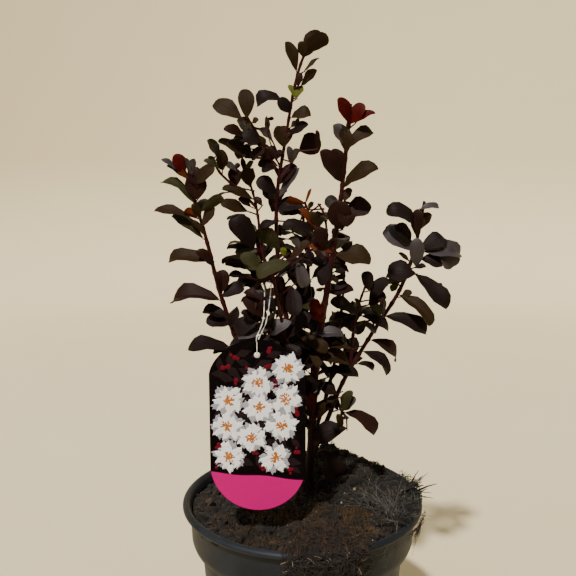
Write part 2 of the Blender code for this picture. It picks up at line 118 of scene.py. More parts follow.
@dataclass
class Shape:
    """Points and faces of closed skins, with an optional vector mark for each point."""

    points: Array
    quads: Array = field(default_factory=lambda: np.zeros((0, 4), int))
    triangles: Array = field(default_factory=lambda: np.zeros((0, 3), int))
    marks: Array | None = None

    @staticmethod
    def joined(shapes: Sequence["Shape"]) -> "Shape":
        """Put several shapes into one, keeping each as an island.

        Args:
            shapes: The shapes, which have marks all or none.

        Returns:
            One shape that holds them all.
        """
        starts = np.cumsum([0] + [len(shape.points) for shape in shapes[:-1]])
        marks = None
        if shapes[0].marks is not None:
            marks = np.concatenate([shape.marks for shape in shapes])
        return Shape(
            np.concatenate([shape.points for shape in shapes]),
            np.concatenate([shape.quads + start for shape, start in zip(shapes, starts)]),
            np.concatenate([shape.triangles + start for shape, start in zip(shapes, starts)]),
            marks,
        )


class Noise:
    """Seeded smooth noise over space, from random values at the corners of cubic cells."""

    SIZE = 4096

    def __init__(self, seed: int) -> None:
        """Draw the table of corner values.

        Args:
            seed: The seed of the table.
        """
        self.table = np.random.default_rng(seed).uniform(-1.0, 1.0, self.SIZE)

    def at(self, points: Array, cell: float) -> Array:
        """Blend the eight corner values round each point.

        The blend weight along each axis is 3f² - 2f³, where f is the share of the way through the cell.

        Args:
            points: Points, with the axis last.
            cell: Side of a cell.

        Returns:
            A value from -1 to 1 for each point.
        """
        scaled = np.asarray(points, float) / cell
        base = np.floor(scaled).astype(np.int64)
        part = scaled - base
        part = part * part * (3 - 2 * part)
        total = np.zeros(scaled.shape[:-1])
        for corner in itertools.product((0, 1), repeat=3):
            place = base + np.array(corner)
            key = place[..., 0] * 73856093 ^ place[..., 1] * 19349663 ^ place[..., 2] * 83492791
            weight = np.prod(np.where(np.array(corner) == 1, part, 1 - part), axis=-1)
            total += weight * self.table[key & (self.SIZE - 1)]
        return total

    def layered(self, points: Array, cell: float, layers: int = 4) -> Array:
        """Add layers of noise, each of half the cell and 0.55 of the strength of the one before.

        Args:
            points: Points, with the axis last.
            cell: Side of the largest cell.
            layers: Number of layers.

        Returns:
            The sum for each point.
        """
        return sum(self.at(points, cell / 2**layer) * 0.55**layer for layer in range(layers))


def unit(vectors: Array) -> Array:
    """Each vector divided by its own length."""
    return vectors / np.maximum(np.linalg.norm(vectors, axis=-1, keepdims=True), 1e-12)


def stacked(*parts: Any) -> Array:
    """Numbers and arrays brought to one shape and stacked along a new last axis."""
    return np.stack(np.broadcast_arrays(*parts), axis=-1)


def circle(sides: int) -> Array:
    """Even angles once round a circle."""
    return np.arange(sides) * math.tau / sides


def spin(radius: Any, angle: Array, height: Any) -> Array:
    """Points at a radius and an angle round Z, at a height."""
    return stacked(radius * np.cos(angle), radius * np.sin(angle), height)


def smooth_path(points: Sequence[Sequence[float]]) -> Array:
    """A fine Catmull-Rom curve through the given points.

    Args:
        points: The points that the curve passes.

    Returns:
        Points along the curve, first to last.
    """
    points = np.asarray(points, float)
    held = np.vstack([2 * points[0] - points[1], points, 2 * points[-1] - points[-2]])
    steps = np.linspace(0, 1, FINE_STEPS, endpoint=False)[:, None]
    pieces = []
    for before, start, end, after in zip(held, held[1:], held[2:], held[3:]):
        pieces.append(0.5 * (
            2 * start + (end - before) * steps
            + (2 * before - 5 * start + 4 * end - after) * steps**2
            + (3 * start - before - 3 * end + after) * steps**3))
    return np.vstack([*pieces, points[-1:]])


def lengths_along(path: Array) -> Array:
    """Distance along a path at each of its points."""
    return np.concatenate([[0.0], np.cumsum(np.linalg.norm(np.diff(path, axis=0), axis=1))])


def points_at(path: Array, lengths: Array) -> Array:
    """Points of a path at given distances along it."""
    along = lengths_along(path)
    return np.stack([np.interp(lengths, along, path[:, axis]) for axis in range(path.shape[1])], axis=-1)


def stretch(path: Array, start: float, end: float, count: int) -> Array:
    """Evenly spaced points from one share of a path's length to another."""
    return points_at(path, np.linspace(start, end, count) * lengths_along(path)[-1])


def cross_axes(paths: Array) -> tuple[Array, Array, Array]:
    """The tangent of each path, and two unit vectors square to it.

    The first is the cross product of +Y and the tangent, and the second that of the tangent and the
    first. A path that runs mostly along Y takes +Z in place of +Y.

    Args:
        paths: Points of shape (path, point, axis).

    Returns:
        Tangents, first and second vectors, of the same shape.
    """
    tangent = unit(np.gradient(paths, axis=1))
    lies_along = np.abs(unit(tangent.mean(axis=1, keepdims=True))[..., 1:2]) > 0.8
    guide = np.where(lies_along, np.array((0.0, 0.0, 1.0)), np.array((0.0, 1.0, 0.0)))
    side = unit(np.cross(np.broadcast_to(guide, tangent.shape), tangent))
    return tangent, side, np.cross(tangent, side)


def skinned(rings: Array, first: Array, last: Array) -> Shape:
    """Cover stacks of rings with quads, and close each stack with a point at both ends.

    Args:
        rings: Points of shape (stack, ring, side, axis), turning to the right seen along the stack.
        first: The closing point before each stack.
        last: The closing point after each stack.

    Returns:
        The closed skins.
    """
    stacks, ring_count, sides = rings.shape[:3]
    index = np.arange(ring_count * sides).reshape(ring_count, sides)
    onward = np.roll(index, -1, axis=1)
    quads = stacked(index[:-1], onward[:-1], onward[1:], index[1:]).reshape(-1, 4)
    pole = ring_count * sides
    low = stacked(pole, onward[0], index[0])
    high = stacked(pole + 1, index[-1], onward[-1])
    shift = (np.arange(stacks) * (pole + 2))[:, None, None]
    points = np.concatenate([rings.reshape(stacks, -1, 3), first[:, None], last[:, None]], axis=1)
    caps = np.concatenate([low, high])
    return Shape(points.reshape(-1, 3), (quads + shift).reshape(-1, 4), (caps + shift).reshape(-1, 3))


def tubes(paths: Array, radii: Array, sides: int) -> Shape:
    """Round closed tubes: each ring is its path's point plus radius times a turning unit vector.

    Args:
        paths: Points of shape (path, point, axis).
        radii: Radius at each point, or with a last axis for each side as well.
        sides: Sides of a ring.

    Returns:
        The closed skins.
    """
    _, side, other = cross_axes(paths)
    angles = circle(sides)
    spokes = (side[:, :, None] * np.cos(angles)[:, None] + other[:, :, None] * np.sin(angles)[:, None])
    radii = np.asarray(radii, float)
    if radii.ndim == 2:
        radii = radii[..., None]
    return skinned(paths[:, :, None] + spokes * radii[..., None], paths[:, 0], paths[:, -1])


def turned(profile: Array, sides: int) -> Shape:
    """A profile turned round Z, closed on the axis at both ends.

    Args:
        profile: Its (radius, height) pairs.
        sides: Sides of a ring.

    Returns:
        The closed skin.
    """
    angles = circle(sides)
    profile = np.asarray(profile, float)
    rings = spin(profile[:, :1], angles, profile[:, 1:])[None]
    ends = np.array(((0.0, 0.0, profile[0, 1]), (0.0, 0.0, profile[-1, 1])))
    return skinned(rings, ends[:1], ends[1:])


def rounded(corners: Sequence[tuple[float, float]], radius: float, steps: int = 5) -> Array:
    """An outline with each inner corner replaced by a parabola that starts and ends near it.

    Args:
        corners: The outline's corners.
        radius: How far from a corner its curve starts, at most.
        steps: Points on each curve.

    Returns:
        The rounded outline.
    """
    corners = np.asarray(corners, float)
    share = np.linspace(0, 1, steps)[:, None]
    made = [corners[:1]]
    for before, corner, after in zip(corners, corners[1:], corners[2:]):
        near = min(radius, 0.45 * np.linalg.norm(before - corner))
        far = min(radius, 0.45 * np.linalg.norm(after - corner))
        start = corner + unit(before - corner) * near
        end = corner + unit(after - corner) * far
        made.append((1 - share)**2 * start + 2 * share * (1 - share) * corner + share**2 * end)
    return np.vstack([*made, corners[-1:]])


def lumps(places: Array, sizes: Array, rng: np.random.Generator, rough: float = 0.25) -> Shape:
    """Uneven twenty-sided grains, each squeezed along three axes, turned at random and put in its place.

    Args:
        places: Centres, of shape (grain, axis).
        sizes: Half sizes along the three axes of each grain.
        rng: The source of chance.
        rough: Share by which a corner may stand out or in.

    Returns:
        The closed grains.
    """
    ball = bmesh.new()
    bmesh.ops.create_icosphere(ball, subdivisions=1, radius=1.0)
    corners = np.array([corner.co for corner in ball.verts])
    faces = np.array([[corner.index for corner in face.verts] for face in ball.faces])
    ball.free()
    count = len(places)
    uneven = corners[None] * (1 + rough * rng.uniform(-1, 1, (count, len(corners), 1)))
    first = unit(rng.normal(size=(count, 3)))
    second = unit(np.cross(first, rng.normal(size=(count, 3))))
    turn = np.stack([first, second, np.cross(first, second)], axis=1)
    points = places[:, None] + np.einsum("nij,njk->nik", uneven * sizes[:, None], turn)
    shift = (np.arange(count) * len(corners))[:, None, None]
    return Shape(points.reshape(-1, 3), triangles=(faces[None] + shift).reshape(-1, 3))


def lenses(centres: Array, turns: Array, sizes: Array, depth: float, outline: Array) -> Shape:
    """Thin domed discs on planes of constant y, facing -Y, with their own outline.

    A ring's radius is sin(a) of the outline's and it stands out by depth times cos(a), as a goes
    from 0 in the middle of the front to the rim, and the back is flat.

    Args:
        centres: Middle of each disc's back.
        turns: Angle of each disc in its plane.
        sizes: Half length and half width of each disc.
        depth: How far the middle stands out.
        outline: Radius of the outline at even angles.

    Returns:
        The closed discs.
    """
    sides = len(outline)
    angles = circle(sides)
    rows = np.radians((90, 89, 60, 30))
    flat = stacked(outline * np.cos(angles), outline * np.sin(angles))
    rings = np.zeros((len(centres), len(rows), sides, 3))
    scaled = flat[None] * sizes[:, None]
    cos, sin = np.cos(turns)[:, None], np.sin(turns)[:, None]
    along = scaled[..., 0] * cos - scaled[..., 1] * sin
    up = scaled[..., 0] * sin + scaled[..., 1] * cos
    rings[..., 0] = centres[:, None, None, 0] + along[:, None] * np.sin(rows)[:, None]
    rings[..., 1] = centres[:, None, None, 1] - depth * np.cos(rows)[:, None]
    rings[..., 2] = centres[:, None, None, 2] + up[:, None] * np.sin(rows)[:, None]
    rings[:, 0, :, 1] = centres[:, None, 1]
    front = centres - np.array((0.0, depth, 0.0))
    return skinned(rings, centres, front)


def slab(columns: Array, low: Array, high: Array, front: float, back: float, rows: int = 10) -> Shape:
    """A thin plate between two lines z = low(x) and z = high(x), closed round its edge.

    Args:
        columns: The x of each column.
        low: The lower z of each column.
        high: The upper z of each column.
        front: The y of the face towards -Y.
        back: The y of the other face.
        rows: Points up each column.

    Returns:
        The closed plate.
    """
    share = np.linspace(0, 1, rows)[:, None]
    height = low + (high - low) * share
    across = np.broadcast_to(columns, height.shape)
    faces = [stacked(across, y, height) for y in (front, back)]
    count = rows * len(columns)
    index = np.arange(count).reshape(rows, -1)
    ahead = stacked(index[:-1, :-1], index[:-1, 1:], index[1:, 1:], index[1:, :-1])
    behind = ahead[..., ::-1] + count
    edge = np.concatenate([index[0, :-1], index[:-1, -1], index[-1, :0:-1], index[:0:-1, 0]])
    after = np.roll(edge, -1)
    rim = stacked(edge, edge + count, after + count, after)
    quads = np.concatenate([ahead.reshape(-1, 4), behind.reshape(-1, 4), rim])
    return Shape(np.concatenate([face.reshape(-1, 3) for face in faces]), quads)


class Wire:
    """A shader socket that takes part in Python arithmetic, each step adding a Math node."""

    def __init__(self, bench: "Bench", socket: bpy.types.NodeSocket) -> None:
        """Keep the socket and the bench that its nodes are made on."""
        self.bench = bench
        self.socket = socket

    def __add__(self, other: Operand) -> "Wire":
        """The sum."""
        return self.bench.maths("ADD", self, other)

    __radd__ = __add__

    def __mul__(self, other: Operand) -> "Wire":
        """The product."""
        return self.bench.maths("MULTIPLY", self, other)

    __rmul__ = __mul__

    def __sub__(self, other: Operand) -> "Wire":
        """The difference."""
        return self.bench.maths("SUBTRACT", self, other)

    def __rsub__(self, other: Operand) -> "Wire":
        """The difference, the other way round."""
        return self.bench.maths("SUBTRACT", other, self)

    def __pow__(self, other: Operand) -> "Wire":
        """The power."""
        return self.bench.maths("POWER", self, other)

    def within(self) -> "Wire":
        """The value held between 0 and 1."""
        return self.bench.maths("MULTIPLY", self, 1.0, clamp=True)


class Bench:
    """One material being made: its nodes, and the Principled shader that they feed."""

    def __init__(self, name: str) -> None:
        """Start a material.

        Args:
            name: The material's name.
        """
        self.material = bpy.data.materials.new(name)
        self.material.use_nodes = True
        self.tree = self.material.node_tree
        self.shader = self.tree.nodes["Principled BSDF"]

    def node(self, kind: str, settings: dict[str, Any], inputs: dict[Any, Any]) -> bpy.types.Node:
        """Make a node.

        Args:
            kind: The node's type.
            settings: Its settings, with a ramp's stops as (position, colour) pairs under "stops".
            inputs: A value or a wire for each socket that is set, by name or index.

        Returns:
            The node.
        """
        made = self.tree.nodes.new(kind)
        for name, value in settings.items():
            if name == "stops":
                self._set_stops(made.color_ramp, value)
            else:
                setattr(made, name, value)
        for key, value in inputs.items():
            if isinstance(value, Wire):
                self.tree.links.new(value.socket, made.inputs[key])
            else:
                made.inputs[key].default_value = value
        return made

    @staticmethod
    def _set_stops(ramp: bpy.types.ColorRamp, stops: Sequence[tuple[float, Colour]]) -> None:
        """Give a ramp its stops.

        Args:
            ramp: The ramp.
            stops: Its (position, colour) pairs.
        """
        while len(ramp.elements) < len(stops):
            ramp.elements.new(0.5)
        for element, (position, colour) in zip(ramp.elements, stops):
            element.position = position
            element.color = (*colour, 1.0)

    def maths(self, operation: str, first: Operand, second: Operand = 0.0, clamp: bool = False) -> Wire:
        """A Math node's result.

        Args:
            operation: The node's operation.
            first: Its first value.
            second: Its second value.
            clamp: Whether the result is kept from 0 to 1.

        Returns:
            The result.
        """
        made = self.node("ShaderNodeMath", {"operation": operation, "use_clamp": clamp},
                         {0: first, 1: second})
        return Wire(self, made.outputs[0])

    def place(self) -> Wire:
        """The point of the surface, in the object's own coordinates."""
        return Wire(self, self.node("ShaderNodeTexCoord", {}, {}).outputs["Object"])

    def stretched(self, scale: tuple[float, float, float]) -> Wire:
        """Object coordinates multiplied along each axis."""
        made = self.node("ShaderNodeMapping", {}, {"Vector": self.place(), "Scale": scale})
        return Wire(self, made.outputs[0])

    def noise(self, scale: float, detail: float = 4.0, vector: Wire | None = None) -> Wire:
        """Noise of so many cells to the metre, from 0 to 1.

        Args:
            scale: Cells to the metre.
            detail: How many finer layers.
            vector: Where it is read, or the object's own coordinates.

        Returns:
            The noise.
        """
        made = self.node("ShaderNodeTexNoise", {}, {
            "Vector": vector or self.place(), "Scale": scale, "Detail": detail, "Roughness": 0.6})
        return Wire(self, made.outputs["Fac"])

    def ramp(self, factor: Wire, stops: Sequence[tuple[float, Colour]]) -> Wire:
        """A colour ramp's colour."""
        return Wire(self, self.node("ShaderNodeValToRGB", {"stops": stops}, {0: factor}).outputs[0])

    def mix(self, factor: Operand, first: Union[Wire, Colour], second: Union[Wire, Colour]) -> Wire:
        """A blend of two colours.

        Args:
            factor: The share of the second.
            first: The first colour.
            second: The second colour.

        Returns:
            The blend.
        """
        held = [value if isinstance(value, Wire) else (*value, 1.0) for value in (first, second)]
        made = self.node("ShaderNodeMix", {"data_type": "RGBA"}, {0: factor, 6: held[0], 7: held[1]})
        return Wire(self, made.outputs[2])

    def bump(self, height: Wire, strength: float, distance: float) -> Wire:
        """A normal tilted by a height.

        Args:
            height: The height, from 0 to 1.
            strength: How strong.
            distance: The real height, in metres.

        Returns:
            The normal.
        """
        made = self.node("ShaderNodeBump", {}, {
            "Height": height, "Strength": strength, "Distance": distance})
        return Wire(self, made.outputs[0])

    def attribute(self, name: str) -> tuple[Wire, Wire, Wire]:
        """The three numbers of a vector attribute.

        Args:
            name: The attribute.

        Returns:
            A wire for each.
        """
        vector = Wire(self, self.node("ShaderNodeAttribute", {"attribute_name": name}, {}).outputs["Vector"])
        made = self.node("ShaderNodeSeparateXYZ", {}, {0: vector})
        return tuple(Wire(self, socket) for socket in made.outputs)

    def feed(self, **values: Any) -> bpy.types.Material:
        """Set or link the shader's sockets.

        Args:
            values: A value or a wire for each socket, by its name with underscores.

        Returns:
            The finished material.
        """
        for name, value in values.items():
            socket = self.shader.inputs[name.replace("_", " ").title().replace("Ior", "IOR")]
            if isinstance(value, Wire):
                self.tree.links.new(value.socket, socket)
            elif isinstance(value, tuple):
                socket.default_value = (*value, 1.0)
            else:
                socket.default_value = value
        return self.material


@dataclass(frozen=True)
class PotPlastic:
    """Blue-grey moulded plastic, scuffed, with specks of dry compost dust."""

    name: str = "pot_plastic"
    colour: Colour = (0.0056, 0.0078, 0.0125)
    worn: Colour = (0.020, 0.026, 0.036)
    dust: Colour = (0.055, 0.043, 0.030)

    def build(self) -> bpy.types.Material:
        """The material: cloudy wear, thin scratches round the wall, and a fine moulded grain.

        Returns:
            The material.
        """
        bench = Bench(self.name)
        wear = bench.ramp(bench.noise(26.0, 8.0), ((0.45, (0, 0, 0)), (0.75, (1, 1, 1))))
        scratch = bench.noise(9.0, 9.0, bench.stretched((6.0, 6.0, 90.0)))
        scuffs = bench.ramp(scratch, ((0.60, (0, 0, 0)), (0.70, (1, 1, 1))))
        grey = bench.mix(Wire(bench, wear.socket) * 0.55, self.colour, self.worn)
        grey = bench.mix(scuffs * 0.28, grey, self.worn)
        specks = bench.ramp(bench.noise(420.0, 3.0), ((0.66, (0, 0, 0)), (0.74, (1, 1, 1))))
        colour = bench.mix(specks * 0.35, grey, self.dust)
        grain = bench.noise(1800.0, 2.0) * 0.4 + scratch * 0.6
        return bench.feed(
            base_color=colour, roughness=0.42 + bench.noise(60.0, 5.0) * 0.20, specular_ior_level=0.18,
            normal=bench.bump(grain, 0.25, 0.0003))


@dataclass(frozen=True)
class Earth:
    """Crumbly matter of two or three browns, with patches of painted shade."""

    name: str
    dark: Colour
    middle: Colour
    pale: Colour
    scale: float = 500.0
    roughness: float = 0.95
    # Strength of the painted shade patches.
    painted_shade_strength: float = 0.6

    def build(self) -> bpy.types.Material:
        """The material: layered noise picks the brown and the relief, and slow noise patches darken it
        towards its darkest brown as painted shade.

        Returns:
            The material.
        """
        bench = Bench(self.name)
        pattern = bench.noise(self.scale, 6.0)
        # Painted shade: slow noise patches blended towards the darkest brown, standing for shadowed gaps
        # between clods.
        painted_shade_patches = bench.ramp(bench.noise(70.0, 4.0), ((0.46, (0, 0, 0)), (0.60, (1, 1, 1))))
        colour = bench.ramp(pattern, ((0.38, self.dark), (0.57, self.middle), (0.76, self.pale)))
        colour = bench.mix(Wire(bench, painted_shade_patches.socket) * self.painted_shade_strength, colour, self.dark)
        return bench.feed(
            base_color=colour, roughness=self.roughness,
            normal=bench.bump(bench.noise(self.scale * 2.5, 4.0), 0.6, 0.0006))


# A seventh value, where given, sets the strength of the painted shade patches.
EARTHS = {earth.name: earth for earth in (
    Earth("compost_dark", (0.0018, 0.0012, 0.0008), (0.0105, 0.0056, 0.0030), (0.055, 0.029, 0.015),
          420, 0.95, 0.85),
    Earth("bark_chip", (0.010, 0.005, 0.0025), (0.034, 0.016, 0.0075), (0.095, 0.048, 0.023), 260, 0.85),
    Earth("moss_gold", (0.010, 0.005, 0.0014), (0.070, 0.036, 0.0085), (0.180, 0.105, 0.028), 500, 0.9, 0.7),
    Earth("pale_grit", (0.220, 0.160, 0.090), (0.380, 0.310, 0.210), (0.560, 0.490, 0.370), 300, 0.8),
    Earth("moss_dry", (0.0022, 0.0019, 0.0010), (0.0105, 0.0095, 0.0045), (0.044, 0.041, 0.019), 620),
    Earth("straw_grey", (0.032, 0.028, 0.020), (0.090, 0.080, 0.062), (0.200, 0.180, 0.145), 300, 0.9),
    Earth("root_felt", (0.0025, 0.0018, 0.0014), (0.009, 0.005, 0.0035), (0.026, 0.014, 0.009), 700),
    Earth("root_brown", (0.0045, 0.0028, 0.0022), (0.014, 0.008, 0.006), (0.038, 0.023, 0.016), 300, 0.85),
    Earth("root_rust", (0.026, 0.011, 0.004), (0.060, 0.027, 0.009), (0.120, 0.062, 0.024), 300, 0.85),
    Earth("root_pale", (0.150, 0.105, 0.070), (0.300, 0.240, 0.180), (0.500, 0.440, 0.360), 300, 0.75),
    Earth("straw_dry", (0.022, 0.021, 0.017), (0.070, 0.066, 0.055), (0.180, 0.170, 0.145), 300, 0.9),
    Earth("straw_dark", (0.004, 0.0030, 0.0026), (0.012, 0.009, 0.0078), (0.032, 0.026, 0.022), 300, 0.9),
)}


@dataclass(frozen=True)
class StemBark:
    """Smooth young bark: wine red above, browner, darker with painted shade and streaked towards the soil."""

    name: str = "stem_bark"
    young: Colour = (0.0330, 0.0022, 0.0038)
    # Browner lower bark, darkened further as painted shade of the shaded trunk foot.
    old_shaded: Colour = (0.0100, 0.0038, 0.0032)
    streak: Colour = (0.0050, 0.0020, 0.0020)

    def build(self) -> bpy.types.Material:
        """The material: height above the soil blends young bark with the darker lower bark, whose colour is
        in part painted shade, under long streaks.

        Returns:
            The material.
        """
        bench = Bench(self.name)
        height = Wire(bench, bench.node("ShaderNodeSeparateXYZ", {}, {0: bench.place()}).outputs["Z"])
        youth = ((height - 0.16) * 9.0).within()
        streaks = bench.noise(160.0, 6.0, bench.stretched((6.0, 6.0, 0.7)))
        base = bench.mix(youth, self.old_shaded, self.young)
        colour = bench.mix((streaks - 0.35).within() * 1.5, base, self.streak)
        return bench.feed(
            base_color=colour, roughness=0.46 + streaks * 0.2, specular_ior_level=0.14,
            normal=bench.bump(streaks, 0.5, 0.0005))


@dataclass(frozen=True)
class LeafSkin:
    """Satin leaf of one plain base colour, with raised veins."""

    tone: Tone
    colour: Colour
    roughness: float = 0.56
    veins: float = 7.0
    specular: float = 0.08

    @property
    def name(self) -> str:
        """The material's name."""
        return "leaf_" + self.tone.value

    def build(self) -> bpy.types.Material:
        """The material: a midrib ridge, and slanting veins that are waves of (along - 0.42 * |across|).

        Returns:
            The material.
        """
        bench = Bench(self.name)
        along, across, _ = bench.attribute("blade")
        aside = bench.maths("ABSOLUTE", across)
        midrib = (1.0 - aside * 11.0).within()
        wave = bench.maths("COSINE", (along - aside * 0.42) * (math.tau * self.veins))
        veins = ((wave + 1.0) * 0.5) ** 6.0
        height = midrib + veins * 0.22 + bench.noise(900.0, 3.0) * 0.25
        cloudy = bench.noise(130.0, 3.0)
        lighter = tuple(min(1.0, 1.35 * part) for part in self.colour)
        darker = tuple(0.72 * part for part in self.colour)
        return bench.feed(
            base_color=bench.mix(cloudy, darker, lighter),
            roughness=self.roughness - 0.06 + cloudy * 0.14, specular_ior_level=self.specular,
            normal=bench.bump(height, 0.32, 0.0005))


@dataclass(frozen=True)
class Print:
    """Smooth printed card of one ink, with a faint unevenness."""

    name: str
    colour: Colour
    shade: Colour
    roughness: float = 0.60
    specular: float = 0.16

    def build(self) -> bpy.types.Material:
        """The material: soft noise blends the ink with its shade.

        Returns:
            The material.
        """
        bench = Bench(self.name)
        return bench.feed(
            base_color=bench.mix(bench.noise(220.0, 4.0), self.colour, self.shade),
            roughness=self.roughness + bench.noise(90.0, 3.0) * 0.08, specular_ior_level=self.specular,
            normal=bench.bump(bench.noise(700.0, 2.0), 0.08, 0.0002))


INKS = {ink.name: ink for ink in (
    Print("label_white", (0.62, 0.60, 0.58), (0.70, 0.68, 0.66)),
    Print("label_ground", (0.0010, 0.0007, 0.0010), (0.0045, 0.0022, 0.0030), 0.75, 0.03),
    Print("label_band", (0.420, 0.0001, 0.135), (0.390, 0.0001, 0.124), 0.75, 0.03),
    Print("label_petal", (0.800, 0.800, 0.820), (0.560, 0.560, 0.600)),
    Print("label_petal_shade", (0.330, 0.330, 0.370), (0.180, 0.180, 0.210)),
    Print("label_gold", (0.420, 0.150, 0.012), (0.230, 0.050, 0.008)),
    Print("label_bud", (0.150, 0.001, 0.012), (0.055, 0.0005, 0.004), 0.6, 0.10),
    Print("label_sprig", (0.0070, 0.0042, 0.0050), (0.0180, 0.0100, 0.0110), 0.75, 0.03),
    Print("tie_white", (0.72, 0.71, 0.68), (0.55, 0.54, 0.50), 0.6),
)}


@dataclass(frozen=True)
class Backdrop:
    """Plain pale studio surface."""

    name: str = "studio_pale"
    colour: Colour = (0.700, 0.610, 0.405)
    shade: Colour = (0.655, 0.568, 0.370)

    def build(self) -> bpy.types.Material:
        """The material: two near tones blended by slow noise."""
        bench = Bench(self.name)
        return bench.feed(base_color=bench.mix(bench.noise(3.0, 3.0), self.colour, self.shade), roughness=0.9)


LEAF_SKINS = (
    LeafSkin(DUSK, (0.0084, 0.0042, 0.0039)),
    LeafSkin(WINE, (0.0135, 0.0042, 0.0030)),
    # Grey-purple leaves: paler undersides, with a painted sheen of reflected sky.
    LeafSkin(MAUVE, (0.0310, 0.0240, 0.0270), 0.50, 7.0, 0.28),
    # Brown-green leaves whose colour is a painted glow of light through backlit blades.
    LeafSkin(OLIVE, (0.0180, 0.0096, 0.0034), 0.58),
    LeafSkin(GREEN, (0.0240, 0.0215, 0.0080), 0.58),
    LeafSkin(RED, (0.0420, 0.0014, 0.0010)),
    LeafSkin(EMBER, (0.0660, 0.0130, 0.0018)),
    # Yellow-green leaves: painted sunlight shining through young blades.
    LeafSkin(LIME, (0.0700, 0.0760, 0.0090)),
)


class Maker:
    """Puts finished pieces into the scene: each with its mesh, material, body and solids."""

    def __init__(self) -> None:
        """Start with no materials made."""
        self.made: dict[str, bpy.types.Material] = {}

    def material(self, finish: Any) -> bpy.types.Material:
        """The finish's material, made once.

        Args:
            finish: A finish with a name and a build method.

        Returns:
            The material.
        """
        if finish.name not in self.made:
            self.made[finish.name] = finish.build()
        return self.made[finish.name]

    def mesh_object(self, name: str, shape: Shape, crease: float, mend: bool) -> bpy.types.Object:
        """Make an object from a shape.

        Args:
            name: The object's name.
            shape: Its points and faces.
            crease: Edges sharper than this many degrees stay sharp.
            mend: Whether to turn all faces outwards first.

        Returns:
            The object, linked to the scene.
        """
        mesh = bpy.data.meshes.new(name)
        mesh.from_pydata(shape.points.tolist(), [], shape.quads.tolist() + shape.triangles.tolist())
        if mend:
            body = bmesh.new()
            body.from_mesh(mesh)
            bmesh.ops.recalc_face_normals(body, faces=body.faces)
            body.to_mesh(mesh)
            body.free()
        mesh.shade_smooth()
        mesh.set_sharp_from_angle(angle=math.radians(crease))
        if shape.marks is not None:
            blade = mesh.attributes.new("blade", "FLOAT_VECTOR", "POINT")
            blade.data.foreach_set("vector", shape.marks.astype(np.float32).ravel())
        made = bpy.data.objects.new(name, mesh)
        bpy.context.scene.collection.objects.link(made)
        return made

    def piece(self, name: str, shape: Shape, finish: Any, solids: Sequence[str],
              crease: float = 40.0, mend: bool = False) -> bpy.types.Object:
        """Make a piece of the plant.

        Args:
            name: The piece's name.
            shape: Its points and faces.
            finish: What it is made of.
            solids: The solids that it stands for.
            crease: Edges sharper than this many degrees stay sharp.
            mend: Whether to turn all faces outwards first.

        Returns:
            The piece.
        """
        made = self.mesh_object(name, shape, crease, mend)
        made.data.materials.append(self.material(finish))
        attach(made, "root")
        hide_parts(*solids)
        LOG.info("%s: %d faces", name, len(made.data.polygons))
        return made

    def pierce(self, made: bpy.types.Object, drill: Shape) -> None:
        """Cut a closed shape out of a piece.

        Args:
            made: The piece, whose mesh is replaced.
            drill: The closed shape.
        """
        cutter = self.mesh_object("drill", drill, 40, True)
        change = made.modifiers.new("hole", "BOOLEAN")
        change.operation = "DIFFERENCE"
        change.object = cutter
        graph = bpy.context.evaluated_depsgraph_get()
        made.data = bpy.data.meshes.new_from_object(made.evaluated_get(graph))
        made.modifiers.clear()
        bpy.data.objects.remove(cutter)


@dataclass
class Pot:
    """The nursery pot: a tapering wall, a stacking shoulder, a collar and a rolled lip."""

    rim_radius: float
    height: float
    lip_drop: float = 0.0050
    collar_top: float = 0.0892
    collar_foot: float = 0.0880
    collar_foot_height: float = 0.1200
    collar_bend: float = 0.0862
    collar_bend_height: float = 0.1150
    shoulder: float = 0.0801
    shoulder_height: float = 0.1095
    base: float = 0.0712
    wall: float = 0.0015
    floor: float = 0.0022
    drains: int = 8
    drain_radius: float = 0.0048
    drain_circle: float = 0.0520
    sides: int = 192

    def profile(self) -> Array:
        """The turned outline, from the underside up the outside, over the lip and down the inside.

        Returns:
            Its (radius, height) rows.
        """
        rim, top, low = self.rim_radius, self.height, self.height - self.lip_drop
        corners = (
            (0.030, 0.0), (self.base - 0.0002, 0.0), (self.base + 0.0014, 0.020),
            (self.base + 0.0016, 0.0208), (self.shoulder, self.shoulder_height),
            (self.collar_bend, self.collar_bend_height), (self.collar_foot, self.collar_foot_height),
            (self.collar_top, low), (rim - 0.0012, low - 0.0002), (rim, low + 0.0014),
            (rim - 0.0003, top - 0.0016), (rim - 0.0026, top), (self.collar_top + 0.0014, top - 0.0002),
            (self.collar_top - 0.0004, top - 0.0024), (self.collar_top - self.wall, low - 0.002),
            (self.collar_foot - self.wall, self.collar_foot_height + 0.5 * self.wall),
            (self.collar_bend - self.wall, self.collar_bend_height + self.wall),
            (self.shoulder - self.wall, self.shoulder_height + self.wall),
            (self.base - self.wall, self.floor), (0.030, self.floor))
        return rounded(corners, 0.0016, 6)

    def build(self, maker: Maker) -> None:
        """Turn the pot and cut its drainage holes.

        Args:
            maker: Puts the pieces into the scene.
        """
        pot = maker.piece("pot_body", turned(self.profile(), self.sides), PotPlastic(), ["pot"], 50)
        angles = (np.arange(self.drains) + 0.5) * math.tau / self.drains
        feet = spin(self.drain_circle, angles, -0.01)
        paths = np.stack([feet, feet + np.array((0.0, 0.0, 0.02))], axis=1)
        maker.pierce(pot, tubes(paths, np.full((self.drains, 2), self.drain_radius), 24))


@dataclass(frozen=True)
class Grains:
    """A kind of grain on the compost: its half sizes, and how it is squeezed along its three axes."""

    name: str
    earth: str
    count: int
    size: tuple[float, float]
    squeeze: Colour
    crease: float = 60.0


@dataclass(frozen=True)
class Fibres:
    """A kind of fibre that lies on the ground, in part of a ring, thinned where noise is below a level."""

    name: str
    earth: str
    count: int
    arc: tuple[float, float]
    reach: tuple[float, float]
    length: tuple[float, float]
    radius: float
    lift: float
    bend: float
    above: float = -math.inf


